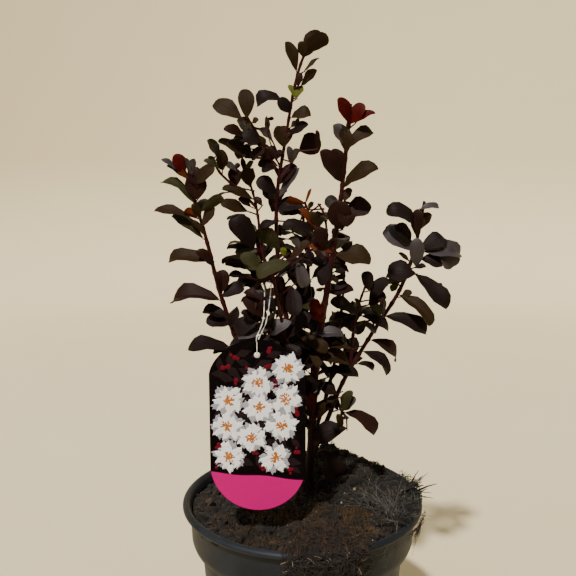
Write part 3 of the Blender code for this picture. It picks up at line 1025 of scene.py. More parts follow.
@dataclass(frozen=True)
class Strands:
    """A kind of strand on a mat.

    loose is how far one may stand off the mat's face, begin the shares of the way down where one
    starts, spread how far headings scatter from straight down and curl how far one may turn, both in
    radians, and furthest the share of the way down that none passes.
    """

    name: str
    earth: str
    count: int
    length: tuple[float, float]
    radius: float
    loose: float
    begin: tuple[float, float]
    spread: float
    curl: float = 1.1
    furthest: float = 1.3


BED_GRAINS = (
    Grains("compost_crumbs", "compost_dark", 4200, (0.0008, 0.0034), (1.0, 0.8, 0.7)),
    Grains("compost_clods", "compost_dark", 300, (0.0030, 0.0078), (1.0, 0.8, 0.6)),
    Grains("bark_chips", "bark_chip", 900, (0.0009, 0.0050), (1.3, 0.6, 0.35), 30.0),
    Grains("pale_grains", "pale_grit", 90, (0.0004, 0.0015), (1.0, 0.9, 0.8)),
)
BED_FIBRES = (
    Fibres("moss_tufts", "moss_dry", 1800, (-30, 108), (0.026, 0.085), (0.003, 0.008), 0.00034, 0.003, 0.4),
    Fibres("dry_stalks", "straw_grey", 560, (4, 104), (0.030, 0.085), (0.004, 0.016), 0.00026, 0.004, 0.5),
    Fibres("soil_fibres", "bark_chip", 300, (-180, 180), (0.010, 0.084), (0.005, 0.018), 0.00026, 0.005, 0.5),
    Fibres("golden_moss", "moss_gold", 3600, (-150, -30), (0.026, 0.083), (0.003, 0.011), 0.00034, 0.0055,
           0.6, 0.10),
)
ROOT_STRANDS = (
    Strands("root_strands_brown", "root_brown", 1700, (0.008, 0.026), 0.00034, 0.0060, (0.02, 0.98), 0.8),
    Strands("root_strands_rust", "root_rust", 900, (0.004, 0.013), 0.00032, 0.0055, (0.0, 0.50), 2.0),
    Strands("root_strands_pale", "root_pale", 64, (0.004, 0.012), 0.00026, 0.0070, (0.50, 1.0), 0.55, 0.8),
)
STRAW_LAID = (
    Strands("straw_strands", "straw_dry", 230, (0.006, 0.020), 0.00026, 0.0050, (0.0, 0.40), 2.4, 1.1, 0.47),
    Strands("straw_strands_dark", "straw_dark", 900, (0.005, 0.018), 0.00034, 0.0042, (0.0, 0.42), 2.4, 1.1,
            0.47),
)
STRAW_ENDS = Strands("straw_ends", "straw_dark", 46, (0.008, 0.024), 0.00026, 0.0020, (0.60, 0.80), 0.30, 0.7)
STRAW_WISPS = Strands("straw_wisps", "straw_dry", 12, (0.016, 0.030), 0.00020, 0.0015, (0.50, 0.75), 0.25,
                      0.6)


@dataclass
class Bed:
    """The compost in the pot, and the moss on it."""

    MOSS_PIECES = ("moss_body", "moss_tufts", "dry_stalks")

    pot: Pot
    level: float = 0.1465
    edge_level: float = 0.1425
    patch: float = 0.020
    moss_arc: tuple[float, float] = (18.0, 108.0)
    straw_arc: tuple[float, float] = (-36.0, 30.0)
    heap: tuple[float, float] = (0.014, -0.047)
    noise: Noise = field(default_factory=lambda: Noise(SEED))
    rng: np.random.Generator = field(default_factory=lambda: np.random.default_rng(SEED + 1))

    @property
    def reach(self) -> float:
        """Radius where the compost meets the wall."""
        return self.pot.collar_top - self.pot.wall - 0.0006

    def soil(self, places: Array) -> Array:
        """Height of the compost: it falls from the middle to the wall, with a heap in front, under noise.

        The heap is 10.5 mm times e to the power -(a/30 mm)² - (b/15 mm)², on axes a and b turned by 30°.

        Args:
            places: Points whose x and y are read.

        Returns:
            The height at each point.
        """
        radius = np.hypot(places[..., 0], places[..., 1])
        share = np.clip((radius - self.patch) / (self.reach - self.patch), 0, 1)
        flat = places * (1, 1, 0)
        rough = 0.0040 * self.noise.layered(flat, 0.013, 5)
        along = (flat[..., 0] - self.heap[0]) * 0.87 - (flat[..., 1] - self.heap[1]) * 0.50
        aside = (flat[..., 0] - self.heap[0]) * 0.50 + (flat[..., 1] - self.heap[1]) * 0.87
        heap = 0.0105 * np.exp(-(along / 0.030)**2 - (aside / 0.015)**2)
        rough = rough * (0.25 + 0.75 * np.sqrt(share)) * (1 + 90 * heap)
        return self.level - (self.level - self.edge_level) * share + heap + rough

    def moss_rise(self, places: Array) -> Array:
        """How far moss and straw stand above the compost: two domes, each over part of a ring.

        Args:
            places: Points whose x and y are read.

        Returns:
            The rise at each point.
        """
        radius = np.hypot(places[..., 0], places[..., 1])
        angle = np.degrees(np.arctan2(places[..., 1], places[..., 0]))
        share = np.clip((angle - self.moss_arc[0]) / (self.moss_arc[1] - self.moss_arc[0]), 0, 1)
        round_way = np.sin(math.pi * share) ** 0.5
        out = np.interp(radius, (0.022, 0.034, 0.052, 0.070, 0.084, 0.087),
                        (0.0, 0.009, 0.018, 0.020, 0.014, 0.0))
        moss = out * round_way * (0.5 + 0.5 * np.sin(math.pi * share)) * (1 - 0.55 * share**2)
        share = np.clip((angle - self.straw_arc[0]) / (self.straw_arc[1] - self.straw_arc[0]), 0, 1)
        out = np.interp(radius, (0.046, 0.060, 0.072, 0.084, 0.087), (0, 0.003, 0.0085, 0.0095, 0.0060))
        return np.maximum(moss, out * np.sin(math.pi * share) ** 0.6)

    def ground(self, places: Array) -> Array:
        """Height of the compost or of the moss on it, whichever is higher.

        Args:
            places: Points in space.

        Returns:
            A height for each.
        """
        flat = places * (1, 1, 0)
        rise = self.moss_rise(places)
        return self.soil(places) + rise * (1 + 0.30 * self.noise.layered(flat, 0.012, 4))

    def moss_skin(self, places: Array) -> Array:
        """Height of the moss alone, which dips under the compost where it ends."""
        return self.ground(places) - 0.0022 * np.exp(-self.moss_rise(places) / 0.0012)

    def field_skin(self, height: Ground, rings: int = 70, sides: int = 220) -> Shape:
        """A closed lump under a height field: rings run up the wall and then in to the middle.

        Args:
            height: Gives the height of points.
            rings: Rings from the wall to the middle.
            sides: Points of a ring.

        Returns:
            The closed lump.
        """
        wall = np.array(((self.reach, self.edge_level - 0.014), (self.reach, self.edge_level - 0.002)))
        inner = self.reach * np.linspace(1, 0.012, rings)
        angles = circle(sides)
        grid = np.zeros((1, rings + 2, sides, 3))
        radius = np.concatenate([wall[:, 0], inner])[:, None]
        grid[0, ..., 0] = radius * np.cos(angles)
        grid[0, ..., 1] = radius * np.sin(angles)
        grid[0, :2, :, 2] = wall[:, 1:]
        grid[0, 2:, :, 2] = height(grid[0, 2:])
        low = np.array(((0.0, 0.0, self.edge_level - 0.014),))
        high = np.array(((0.0, 0.0, float(grid[0, -1, :, 2].mean())),))
        return skinned(grid, low, high)

    def scatter(self, count: int, arc: tuple[float, float], reach: tuple[float, float]) -> Array:
        """Random places on the ground, even over a part of a ring.

        Args:
            count: How many.
            arc: First and last angle, in degrees.
            reach: Smallest and largest radius.

        Returns:
            Points on the ground.
        """
        angle = np.radians(self.rng.uniform(*arc, count))
        radius = np.sqrt(self.rng.uniform(reach[0]**2, reach[1]**2, count))
        places = spin(radius, angle, 0.0)
        places[:, 2] = self.ground(places)
        return places

    def grains(self, kind: Grains) -> Shape:
        """Grains half sunk in the ground, of sizes drawn with the small ones more common.

        Args:
            kind: How many, and their sizes.

        Returns:
            The closed grains.
        """
        places = self.scatter(kind.count, (-180.0, 180.0), (0.004, self.reach - 0.001))
        least, most = kind.size
        drawn = least + (most - least) * self.rng.random(kind.count) ** 2.5
        sizes = drawn[:, None] * np.array(kind.squeeze) * self.rng.uniform(0.7, 1.3, (kind.count, 3))
        return lumps(places, sizes, self.rng)

    def fibres(self, kind: Fibres) -> Shape:
        """Fine fibres lying on the ground: each a bent line whose middle may rise off it.

        A point at share u of a fibre is start + u * heading + u² * bend sideways, raised by
        lift * sin(pi * u).

        Args:
            kind: How many, where and of what size.

        Returns:
            The closed fibres.
        """
        starts = self.scatter(kind.count, kind.arc, kind.reach)
        starts = starts[self.noise.layered(starts * (1, 1, 0), 0.011, 2) > kind.above]
        count = len(starts)
        rng = self.rng
        share = np.linspace(0, 1, 9)[None, :, None]
        angle = rng.uniform(0, math.tau, count)
        heading = spin(1.0, angle, 0.0)[:, None]
        side = spin(1.0, angle + math.pi / 2, 0.0)[:, None]
        long = rng.uniform(*kind.length, (count, 1, 1))
        curl = rng.normal(0, kind.bend, (count, 1, 1))
        wave = rng.normal(0, 0.06, (count, 1, 1))
        wave = wave * np.sin(math.tau * share * rng.uniform(1, 2, (count, 1, 1)))
        paths = starts[:, None] + long * (heading * share + side * (curl * share**2 + wave))
        out = np.hypot(paths[..., 0], paths[..., 1])[..., None]
        paths[..., :2] *= np.minimum(1.0, (self.reach - 0.0012) / out)
        rise = kind.lift * rng.random((count, 1)) ** 2 * np.sin(math.pi * share[..., 0])
        paths[..., 2] = self.ground(paths) + kind.radius * 0.6 + rise
        taper = kind.radius * rng.uniform(0.5, 1.0, (count, 1)) * (1 - 0.7 * share[..., 0])
        return tubes(paths, taper, 4)

    def build(self, maker: Maker) -> None:
        """Make the compost, its grains and the moss.

        Args:
            maker: Puts the pieces into the scene.
        """
        def put(name: str, shape: Shape, earth: str, crease: float = 60) -> None:
            """Make one piece of the compost, or of the moss where it is one of its pieces.

            Args:
                name: The piece's name.
                shape: Its shape.
                earth: The name of its finish.
                crease: The angle past which an edge is sharp, in degrees.
            """
            is_moss = name in self.MOSS_PIECES
            slot, solid = (Slot.MOSS, "moss_mound") if is_moss else (Slot.COMPOST, "compost")
            maker.piece(name, shape, EARTHS[earth], [solid], crease)

        put("compost_surface", self.field_skin(self.soil), "compost_dark", 70)
        for grains in BED_GRAINS:
            put(grains.name, self.grains(grains), grains.earth, grains.crease)
        put("moss_body", self.field_skin(self.moss_skin), "moss_dry", 70)
        for fibres in BED_FIBRES:
            put(fibres.name, self.fibres(fibres), fibres.earth)


@dataclass
class DrapedMat:
    """A mat of fibres that lies on the compost, climbs over the lip and hangs down outside."""

    bed: Bed
    arc: tuple[float, float]
    reach_in: float
    hang: float
    thickness: float
    seed: int

    def route(self, angle: Array) -> Array:
        """The mat's outer face as (radius, height) knots, inside to foot, for each angle.

        Its thickness, and how far it hangs down, go with the sine of pi times the share of the arc, to
        the power 0.6, under small ripples.

        Args:
            angle: Angles round the pot, in radians.

        Returns:
            Knots, with the last two axes knot and (radius, height).
        """
        pot = self.bed.pot
        share = np.clip((np.degrees(angle) - self.arc[0]) / (self.arc[1] - self.arc[0]), 0.02, 0.98)
        round_way = np.sin(math.pi * share)
        swell = self.thickness * (0.15 + 0.85 * round_way**0.6) * (1 + 0.15 * np.sin(9 * angle))
        ragged = 1 + 0.10 * np.sin(23 * angle + 1) + 0.12 * np.sin(61 * angle)
        foot = pot.height - self.hang * (0.30 + 0.62 * round_way**0.6) * ragged
        wall = pot.collar_top - pot.wall - 0.0014
        lip = pot.rim_radius + 0.0008
        knots = (
            (self.reach_in, self.bed.level - 0.001 + 0.3 * swell),
            (self.reach_in + 0.012, pot.height + 0.35 * swell),
            (wall, pot.height + 0.85 * swell),
            (lip + 0.3 * swell, pot.height + 0.7 * swell),
            (lip + 0.75 * swell, pot.height - pot.lip_drop),
            (pot.collar_top + 0.003 + 0.6 * swell, 0.5 * (foot + pot.height - pot.lip_drop)),
            (pot.collar_top + 0.5 * swell, foot),
        )
        return np.stack([stacked(*knot) for knot in knots], axis=-2)

    def on_route(self, angle: Array, share: Array, proud: Array) -> Array:
        """Points on the outer face, standing proud of it by some distance.

        Args:
            angle: Angles round the pot, in radians.
            share: Shares of the way from the first knot to the last.
            proud: Distance outwards from the face.

        Returns:
            Points in space.
        """
        knots = self.route(angle)
        steps = knots.shape[-2] - 1
        step = np.clip(np.floor(share * steps).astype(int), 0, steps - 1)
        part = (share * steps - step)[..., None]
        start = np.take_along_axis(knots, step[..., None, None], axis=-2)[..., 0, :]
        end = np.take_along_axis(knots, step[..., None, None] + 1, axis=-2)[..., 0, :]
        flat = start + (end - start) * part
        slope = unit(end - start)
        flat = flat + stacked(-slope[..., 1], slope[..., 0]) * proud[..., None]
        return spin(flat[..., 0], angle, flat[..., 1])

    def body(self) -> Shape:
        """The felted body: the outer face under noise, and a plain inner face just outside the pot.

        Returns:
            The closed body.
        """
        noise = Noise(self.seed)
        angles = np.radians(np.linspace(self.arc[0], self.arc[1], 70))
        share = np.linspace(0, 1, 44)
        angle, way = np.meshgrid(angles, share, indexing="ij")
        outer = self.on_route(angle, way, np.zeros_like(way))
        edge = np.abs(2 * (angle - angles[0]) / (angles[-1] - angles[0]) - 1) ** 3
        angle = angle + 0.055 * edge * noise.layered(outer * (0, 0, 1), 0.009, 3)
        rough = 0.0028 * noise.layered(outer, 0.008, 4) - 0.0006
        outer = self.on_route(angle, way, rough)
        pot = self.bed.pot
        lip, wall = pot.rim_radius + 0.0004, pot.collar_top - pot.wall - 0.0012
        line = np.array((
            (pot.collar_top + 0.0012, pot.height - self.hang), (lip, pot.height - pot.lip_drop - 0.001),
            (lip, pot.height + 0.0004), (wall, pot.height + 0.0004), (wall, self.bed.level - 0.003),
            (self.reach_in, self.bed.level - 0.004)))
        inner_line = stretch(line, 0, 1, 22)
        inner = spin(inner_line[:, 0], angles[:, None], inner_line[:, 1])
        foot = outer[:, -1:, 2]
        inner[..., 2] = np.where(inner[..., 2] < pot.height - pot.lip_drop - 0.001,
                                 np.maximum(inner[..., 2], foot + 0.0005), inner[..., 2])
        inner[:, -6:, 2] = np.minimum(inner[:, -6:, 2], outer[:, :1, 2] - 0.001)
        rings = np.concatenate([outer, inner], axis=1)[None]
        return skinned(rings, rings[:, 0].mean(axis=1), rings[:, -1].mean(axis=1))

    def strands(self, kind: Strands) -> Shape:
        """Strands that wander over the mat's face, each on its own curling line.

        A strand's direction is its own heading, down the mat or turned from it by chance, plus a
        steady curl and a slow wave. Its steps add up to the way down the mat and the way round.

        Args:
            kind: How many, and how they lie.

        Returns:
            The closed strands.
        """
        count = kind.count
        rng = np.random.default_rng(self.seed + count)
        steps = 12
        share = np.linspace(0, 1, steps)[None]
        course = lengths_along(self.route(np.array([math.radians(sum(self.arc) / 2)]))[0])[-1]
        long = rng.uniform(*kind.length, (count, 1))
        heading = rng.normal(0, kind.spread, (count, 1)) + rng.normal(0, kind.curl, (count, 1)) * share
        wave = np.sin(math.tau * share * rng.uniform(0.5, 2, (count, 1)))
        heading = heading + rng.normal(0, 0.6 * kind.curl, (count, 1)) * wave
        start = rng.uniform(*kind.begin, (count, 1))
        way = start + np.cumsum(np.cos(heading), axis=1) * long / steps / course
        width = math.radians(self.arc[1] - self.arc[0])
        middle = rng.uniform(0.02, 0.98, (count, 1)) * width + math.radians(self.arc[0])
        angle = middle + np.cumsum(np.sin(heading), axis=1) * long / steps / self.bed.pot.rim_radius
        proud = (rng.random((count, 1)) ** 2 * kind.loose * np.sin(math.pi * (0.10 + 0.90 * share))
                 + rng.normal(0, 0.0003, (count, steps)))
        limit = math.radians(2.5)
        angle = np.clip(angle, math.radians(self.arc[0]) - limit, math.radians(self.arc[1]) + limit)
        paths = self.on_route(angle, np.clip(way, 0, kind.furthest), proud + kind.radius)
        taper = kind.radius * rng.uniform(0.5, 1.0, (count, 1)) * (1 - 0.6 * share)
        return tubes(paths, taper, 4)


def mat_of_roots(bed: Bed, maker: Maker) -> None:
    """Make the matted roots over the front of the lip: a dark felt, and brown, rusty and white roots.

    Args:
        bed: The compost that they lie on.
        maker: Puts the pieces into the scene.
    """
    mat = DrapedMat(bed, (-92.0, -66.5), 0.054, 0.054, 0.0055, 31)
    loose = replace(mat, arc=(-96.0, -62.5))
    maker.piece("root_mat_body", mat.body(), EARTHS["root_felt"], ["root_mat"], 70, True)
    for kind in ROOT_STRANDS:
        maker.piece(kind.name, loose.strands(kind), EARTHS[kind.earth], ["root_mat"], 60)


def fan(rng: np.random.Generator, base: Sequence[float], aim: Sequence[float], wide: float, count: int,
        length: tuple[float, float], radius: float, room: float) -> Shape:
    """Stalks that spread from near a point, each bending down a little towards its end.

    A point at share u of a stalk is start + length * (heading * u - 0.25 * u² up).

    Args:
        rng: The source of chance.
        base: The point.
        aim: The middle heading.
        wide: How far headings scatter, as a share of the aim.
        count: How many.
        length: Shortest and longest.
        radius: Thickest radius.
        room: How far starts scatter from the point.

    Returns:
        The closed stalks.
    """
    share = np.linspace(0, 1, 9)[None, :, None]
    start = np.array(base) + rng.normal(0, room, (count, 3)) * (1, 1, 0.2)
    heading = unit(unit(np.array(aim)) + rng.normal(0, wide, (count, 3)))
    heading[:, 2] = np.abs(heading[:, 2])
    long = rng.uniform(*length, (count, 1, 1))
    paths = start[:, None] + long * (heading[:, None] * share - np.array((0.0, 0.0, 0.25)) * share**2)
    paths = paths + rng.normal(0, 0.0002, paths.shape) * share
    return tubes(paths, radius * rng.uniform(0.6, 1.0, (count, 1)) * (1 - 0.8 * share[..., 0]), 4)


def tuft_of_straw(bed: Bed, maker: Maker) -> None:
    """Make the dry straw at the right of the pot: strands up to the lip, fans, spikes and hanging ends.

    Args:
        bed: The compost that it lies on.
        maker: Puts the pieces into the scene.
    """
    def put(name: str, shape: Shape, earth: str) -> None:
        """Make one piece of the tuft."""
        maker.piece(name, shape, EARTHS[earth], ["straw_tuft"], 60)

    rng = np.random.default_rng(SEED + 60)
    top = bed.pot.height + 0.001
    mat = DrapedMat(bed, (-32.0, 22.0), 0.058, 0.012, 0.0024, 53)
    for kind in STRAW_LAID:
        put(kind.name, mat.strands(kind), kind.earth)
    fans = (((0.070, -0.040, top), (0.10, 0.90, 0.40), 0.55, 60),
            ((0.058, -0.020, top), (-0.40, 0.50, 0.20), 0.95, 80),
            ((0.074, -0.022, top), (0.20, 0.60, 0.25), 0.90, 80))
    spread = [fan(rng, *each, (0.008, 0.024), 0.00044, 0.0060) for each in fans]
    put("straw_fan", Shape.joined(spread), "straw_dry")
    spikes = fan(rng, (0.082, -0.004, top), (0.55, 0.10, 0.80), 0.30, 22, (0.014, 0.032), 0.00120, 0.0042)
    put("straw_spikes", spikes, "straw_dark")
    for kind, mat in ((STRAW_ENDS, DrapedMat(bed, (-26.0, -10.0), 0.070, 0.030, 0.0012, 61)),
                      (STRAW_WISPS, DrapedMat(bed, (-56.0, -34.0), 0.074, 0.034, 0.0008, 67))):
        put(kind.name, mat.strands(kind), kind.earth)


@dataclass(frozen=True)
class Shoot:
    """A growing stem: its parent, the share of the parent's length where it leaves, bends and taper."""

    name: str
    parent: str
    leaves_at: float
    bends: tuple[tuple[float, float, float], ...]
    foot_radius: float
    tip_radius: float
    bare_share: float
    unseen_tip: float = 0.012


@dataclass(frozen=True)
class Habit:
    """How a shoot carries its leaves."""

    shoot: str
    first: float
    facing: float
    turn: float
    length: float
    gap: float
    spread: float
    droop: float
    twigs: float
    tip: Tone


FOOT = (0.0055, 0.0110, 0.1468)
TRUNK_SHARE = 0.262

SHOOTS = (
    Shoot("right_centre", "", 0.0, (
        FOOT, (0.0070, 0.0080, 0.180), (0.0090, 0.0030, 0.229), (0.0130, -0.0120, 0.280),
        (0.0205, -0.0220, 0.334), (0.0280, -0.0295, 0.392), (0.0335, -0.0350, 0.455)),
        0.0034, 0.0012, 0.32, 0.004),
    Shoot("centre", "right_centre", 0.235, (
        (-0.0148, 0.0220, 0.300), (-0.0205, 0.0170, 0.375), (-0.0118, 0.0080, 0.437),
        (-0.0035, 0.0040, 0.478), (0.0090, 0.0, 0.508)), 0.0022, 0.0009, 0.24, 0.008),
    Shoot("left", "right_centre", 0.178, (
        (-0.0340, -0.0120, 0.243), (-0.0577, -0.0220, 0.306), (-0.0710, -0.0280, 0.362),
        (-0.0850, -0.0330, 0.411)), 0.0021, 0.0011, 0.37, 0.006),
    Shoot("right", "right_centre", 0.090, (
        (0.0196, 0.0100, 0.207), (0.0328, 0.0140, 0.239), (0.0535, 0.0180, 0.274),
        (0.0767, 0.0180, 0.312), (0.0880, 0.0175, 0.345), (0.0945, 0.0140, 0.384)),
        0.0020, 0.0012, 0.42, 0.001),
    Shoot("front", "right_centre", 0.205, (
        (-0.0060, -0.0260, 0.262), (-0.0180, -0.0440, 0.316), (-0.0260, -0.0520, 0.376)),
        0.0019, 0.0008, 0.80, 0.034),
    Shoot("back", "right_centre", 0.222, (
        (0.0080, 0.0400, 0.275), (0.0040, 0.0560, 0.335), (-0.0040, 0.0580, 0.412)),
        0.0019, 0.0008, 0.26, 0.034),
    Shoot("back_left", "right_centre", 0.160, (
        (-0.0160, 0.0380, 0.255), (-0.0320, 0.0540, 0.312), (-0.0380, 0.0580, 0.358)),
        0.0018, 0.0008, 0.42),
    Shoot("back_right", "right_centre", 0.132, (
        (0.0260, 0.0360, 0.245), (0.0340, 0.0520, 0.300), (0.0360, 0.0560, 0.352)),
        0.0018, 0.0008, 0.45),
    Shoot("left_inner", "centre", 0.30, (
        (-0.0299, 0.0220, 0.335), (-0.0365, 0.0240, 0.378), (-0.0430, 0.0245, 0.402),
        (-0.0520, 0.0260, 0.432)), 0.0015, 0.0007, 0.0),
    Shoot("right_inner", "right", 0.355, (
        (0.0409, 0.0120, 0.284), (0.0450, 0.0070, 0.306), (0.0540, 0.0040, 0.332)),
        0.0014, 0.0007, 0.22),
    Shoot("low_right", "right", 0.245, (
        (0.0325, 0.0060, 0.2155), (0.0420, 0.0010, 0.2095), (0.0600, -0.0040, 0.2030)),
        0.0012, 0.0007, 0.30, 0.026),
    Shoot("front_left", "front", 0.22, (
        (-0.0200, -0.0360, 0.270), (-0.0340, -0.0480, 0.302), (-0.0430, -0.0520, 0.330)),
        0.0014, 0.0007, 0.24),
    Shoot("centre_left", "centre", 0.63, (
        (-0.0315, 0.0060, 0.429), (-0.0460, -0.0020, 0.452), (-0.0580, -0.0050, 0.463)),
        0.0013, 0.0008, 0.0, 0.021),
    Shoot("far_left", "left_inner", 0.58, (
        (-0.0490, 0.0200, 0.391), (-0.0660, 0.0140, 0.408), (-0.0725, 0.0100, 0.432)),
        0.0012, 0.0007, 0.0, 0.020),
    Shoot("inner_right", "right_centre", 0.56, (
        (0.0185, -0.0110, 0.348), (0.0160, -0.0060, 0.374), (0.0040, -0.0060, 0.391)),
        0.0012, 0.0007, 0.0),
)

HABITS = (
    Habit("right_centre", 0.19, 8, 78, 0.034, 0.0130, 58, 0.8, 0.04, RED),
    Habit("centre", 0.12, 0, 74, 0.033, 0.0125, 56, 0.8, 0.05, OLIVE),
    Habit("left", 0.22, 4, 66, 0.033, 0.0150, 64, 0.9, 0.0, RED),
    Habit("right", 0.30, 15, 72, 0.033, 0.0135, 62, 1.1, 0.0, DUSK),
    Habit("front", 0.14, 40, 80, 0.032, 0.0115, 60, 0.9, 0.06, GREEN),
    Habit("back", 0.14, 20, 76, 0.034, 0.0120, 60, 0.9, 0.10, WINE),
    Habit("back_left", 0.18, 70, 76, 0.034, 0.0120, 62, 0.9, 0.10, OLIVE),
    Habit("back_right", 0.18, 110, 76, 0.034, 0.0120, 62, 0.9, 0.10, WINE),
    Habit("left_inner", 0.10, 30, 82, 0.029, 0.0110, 56, 0.8, 0.0, OLIVE),
    Habit("right_inner", 0.08, 15, 84, 0.029, 0.0110, 60, 0.9, 0.0, WINE),
    Habit("low_right", 1.0, 90, 88, 0.028, 0.0120, 55, 1.1, 0.0, DUSK),
    Habit("front_left", 0.10, 0, 84, 0.031, 0.0105, 60, 0.9, 0.0, GREEN),
    Habit("centre_left", 0.22, 60, 80, 0.026, 0.0115, 52, 0.7, 0.0, OLIVE),
    Habit("far_left", 0.25, 20, 80, 0.023, 0.0110, 52, 0.7, 0.0, WINE),
    Habit("inner_right", 0.15, 20, 80, 0.026, 0.0110, 55, 0.7, 0.0, EMBER),
)

SPRAY_TONES = (DUSK, WINE, MAUVE, OLIVE, GREEN)
SPRAY_WEIGHTS = (0.42, 0.27, 0.12, 0.14, 0.05)


@dataclass(frozen=True)
class View:
    """The photo's camera: its place, its turns in degrees, its lens and its picture's width in pixels."""

    eye: tuple[float, float, float] = (0.0, -0.5336, 0.3932)
    yaw: float = 1.19
    pitch: float = 8.12
    roll: float = -0.08
    focal: float = 43.75
    film: float = 36.0
    width: float = 576.0

    @property
    def reach(self) -> float:
        """The lens's focal length in pixels."""
        return self.focal / self.film * self.width

    def axes(self) -> Array:
        """The camera's right, up and ahead directions, as rows.

        Returns:
            Three directions of length 1.
        """
        yaw, pitch, roll = (math.radians(value) for value in (self.yaw, self.pitch, self.roll))
        level = math.cos(pitch)
        ahead = np.array((-math.sin(yaw) * level, math.cos(yaw) * level, -math.sin(pitch)))
        right = unit(np.cross(ahead, (0.0, 0.0, 1.0)))
        up = np.cross(right, ahead)
        cos, sin = math.cos(roll), math.sin(roll)
        return np.array((right * cos + up * sin, up * cos - right * sin, ahead))

    def pixels(self, points: Array) -> Array:
        """Where points show, in pixels from the picture's left and top.

        Args:
            points: Points in space.

        Returns:
            A pixel for each.
        """
        right, up, ahead = self.axes()
        away = points - np.array(self.eye)
        scale = self.reach / (away @ ahead)
        return stacked(self.width / 2 + (away @ right) * scale, self.width / 2 - (away @ up) * scale)

    def spot(self, pixel: tuple[float, float], depth: float) -> Array:
        """The point with y = depth that shows at a pixel.

        Args:
            pixel: From the picture's left and top.
            depth: The point's y.

        Returns:
            The point.
        """
        right, up, ahead = self.axes()
        ray = ahead + (right * (pixel[0] - self.width / 2) + up * (self.width / 2 - pixel[1])) / self.reach
        return np.array(self.eye) + ray * (depth - self.eye[1]) / ray[1]


VIEW = View()


class Mark(NamedTuple):
    """A leaf that the photo shows clearly, by the pixels of its blade's foot and tip.

    wide is its seen width as a share of its seen length, face the angle in degrees by which its upper
    side turns to the camera, below zero where the underside shows, and bend its droop in radians.
    """

    foot_x: float
    foot_y: float
    tip_x: float
    tip_y: float
    wide: float
    face: float
    bend: float
    tone: Tone
    joint: Pixel | None = None

    @property
    def foot(self) -> Pixel:
        """The pixel of the blade's foot."""
        return self.foot_x, self.foot_y

    @property
    def tip(self) -> Pixel:
        """The pixel of the blade's tip."""
        return self.tip_x, self.tip_y


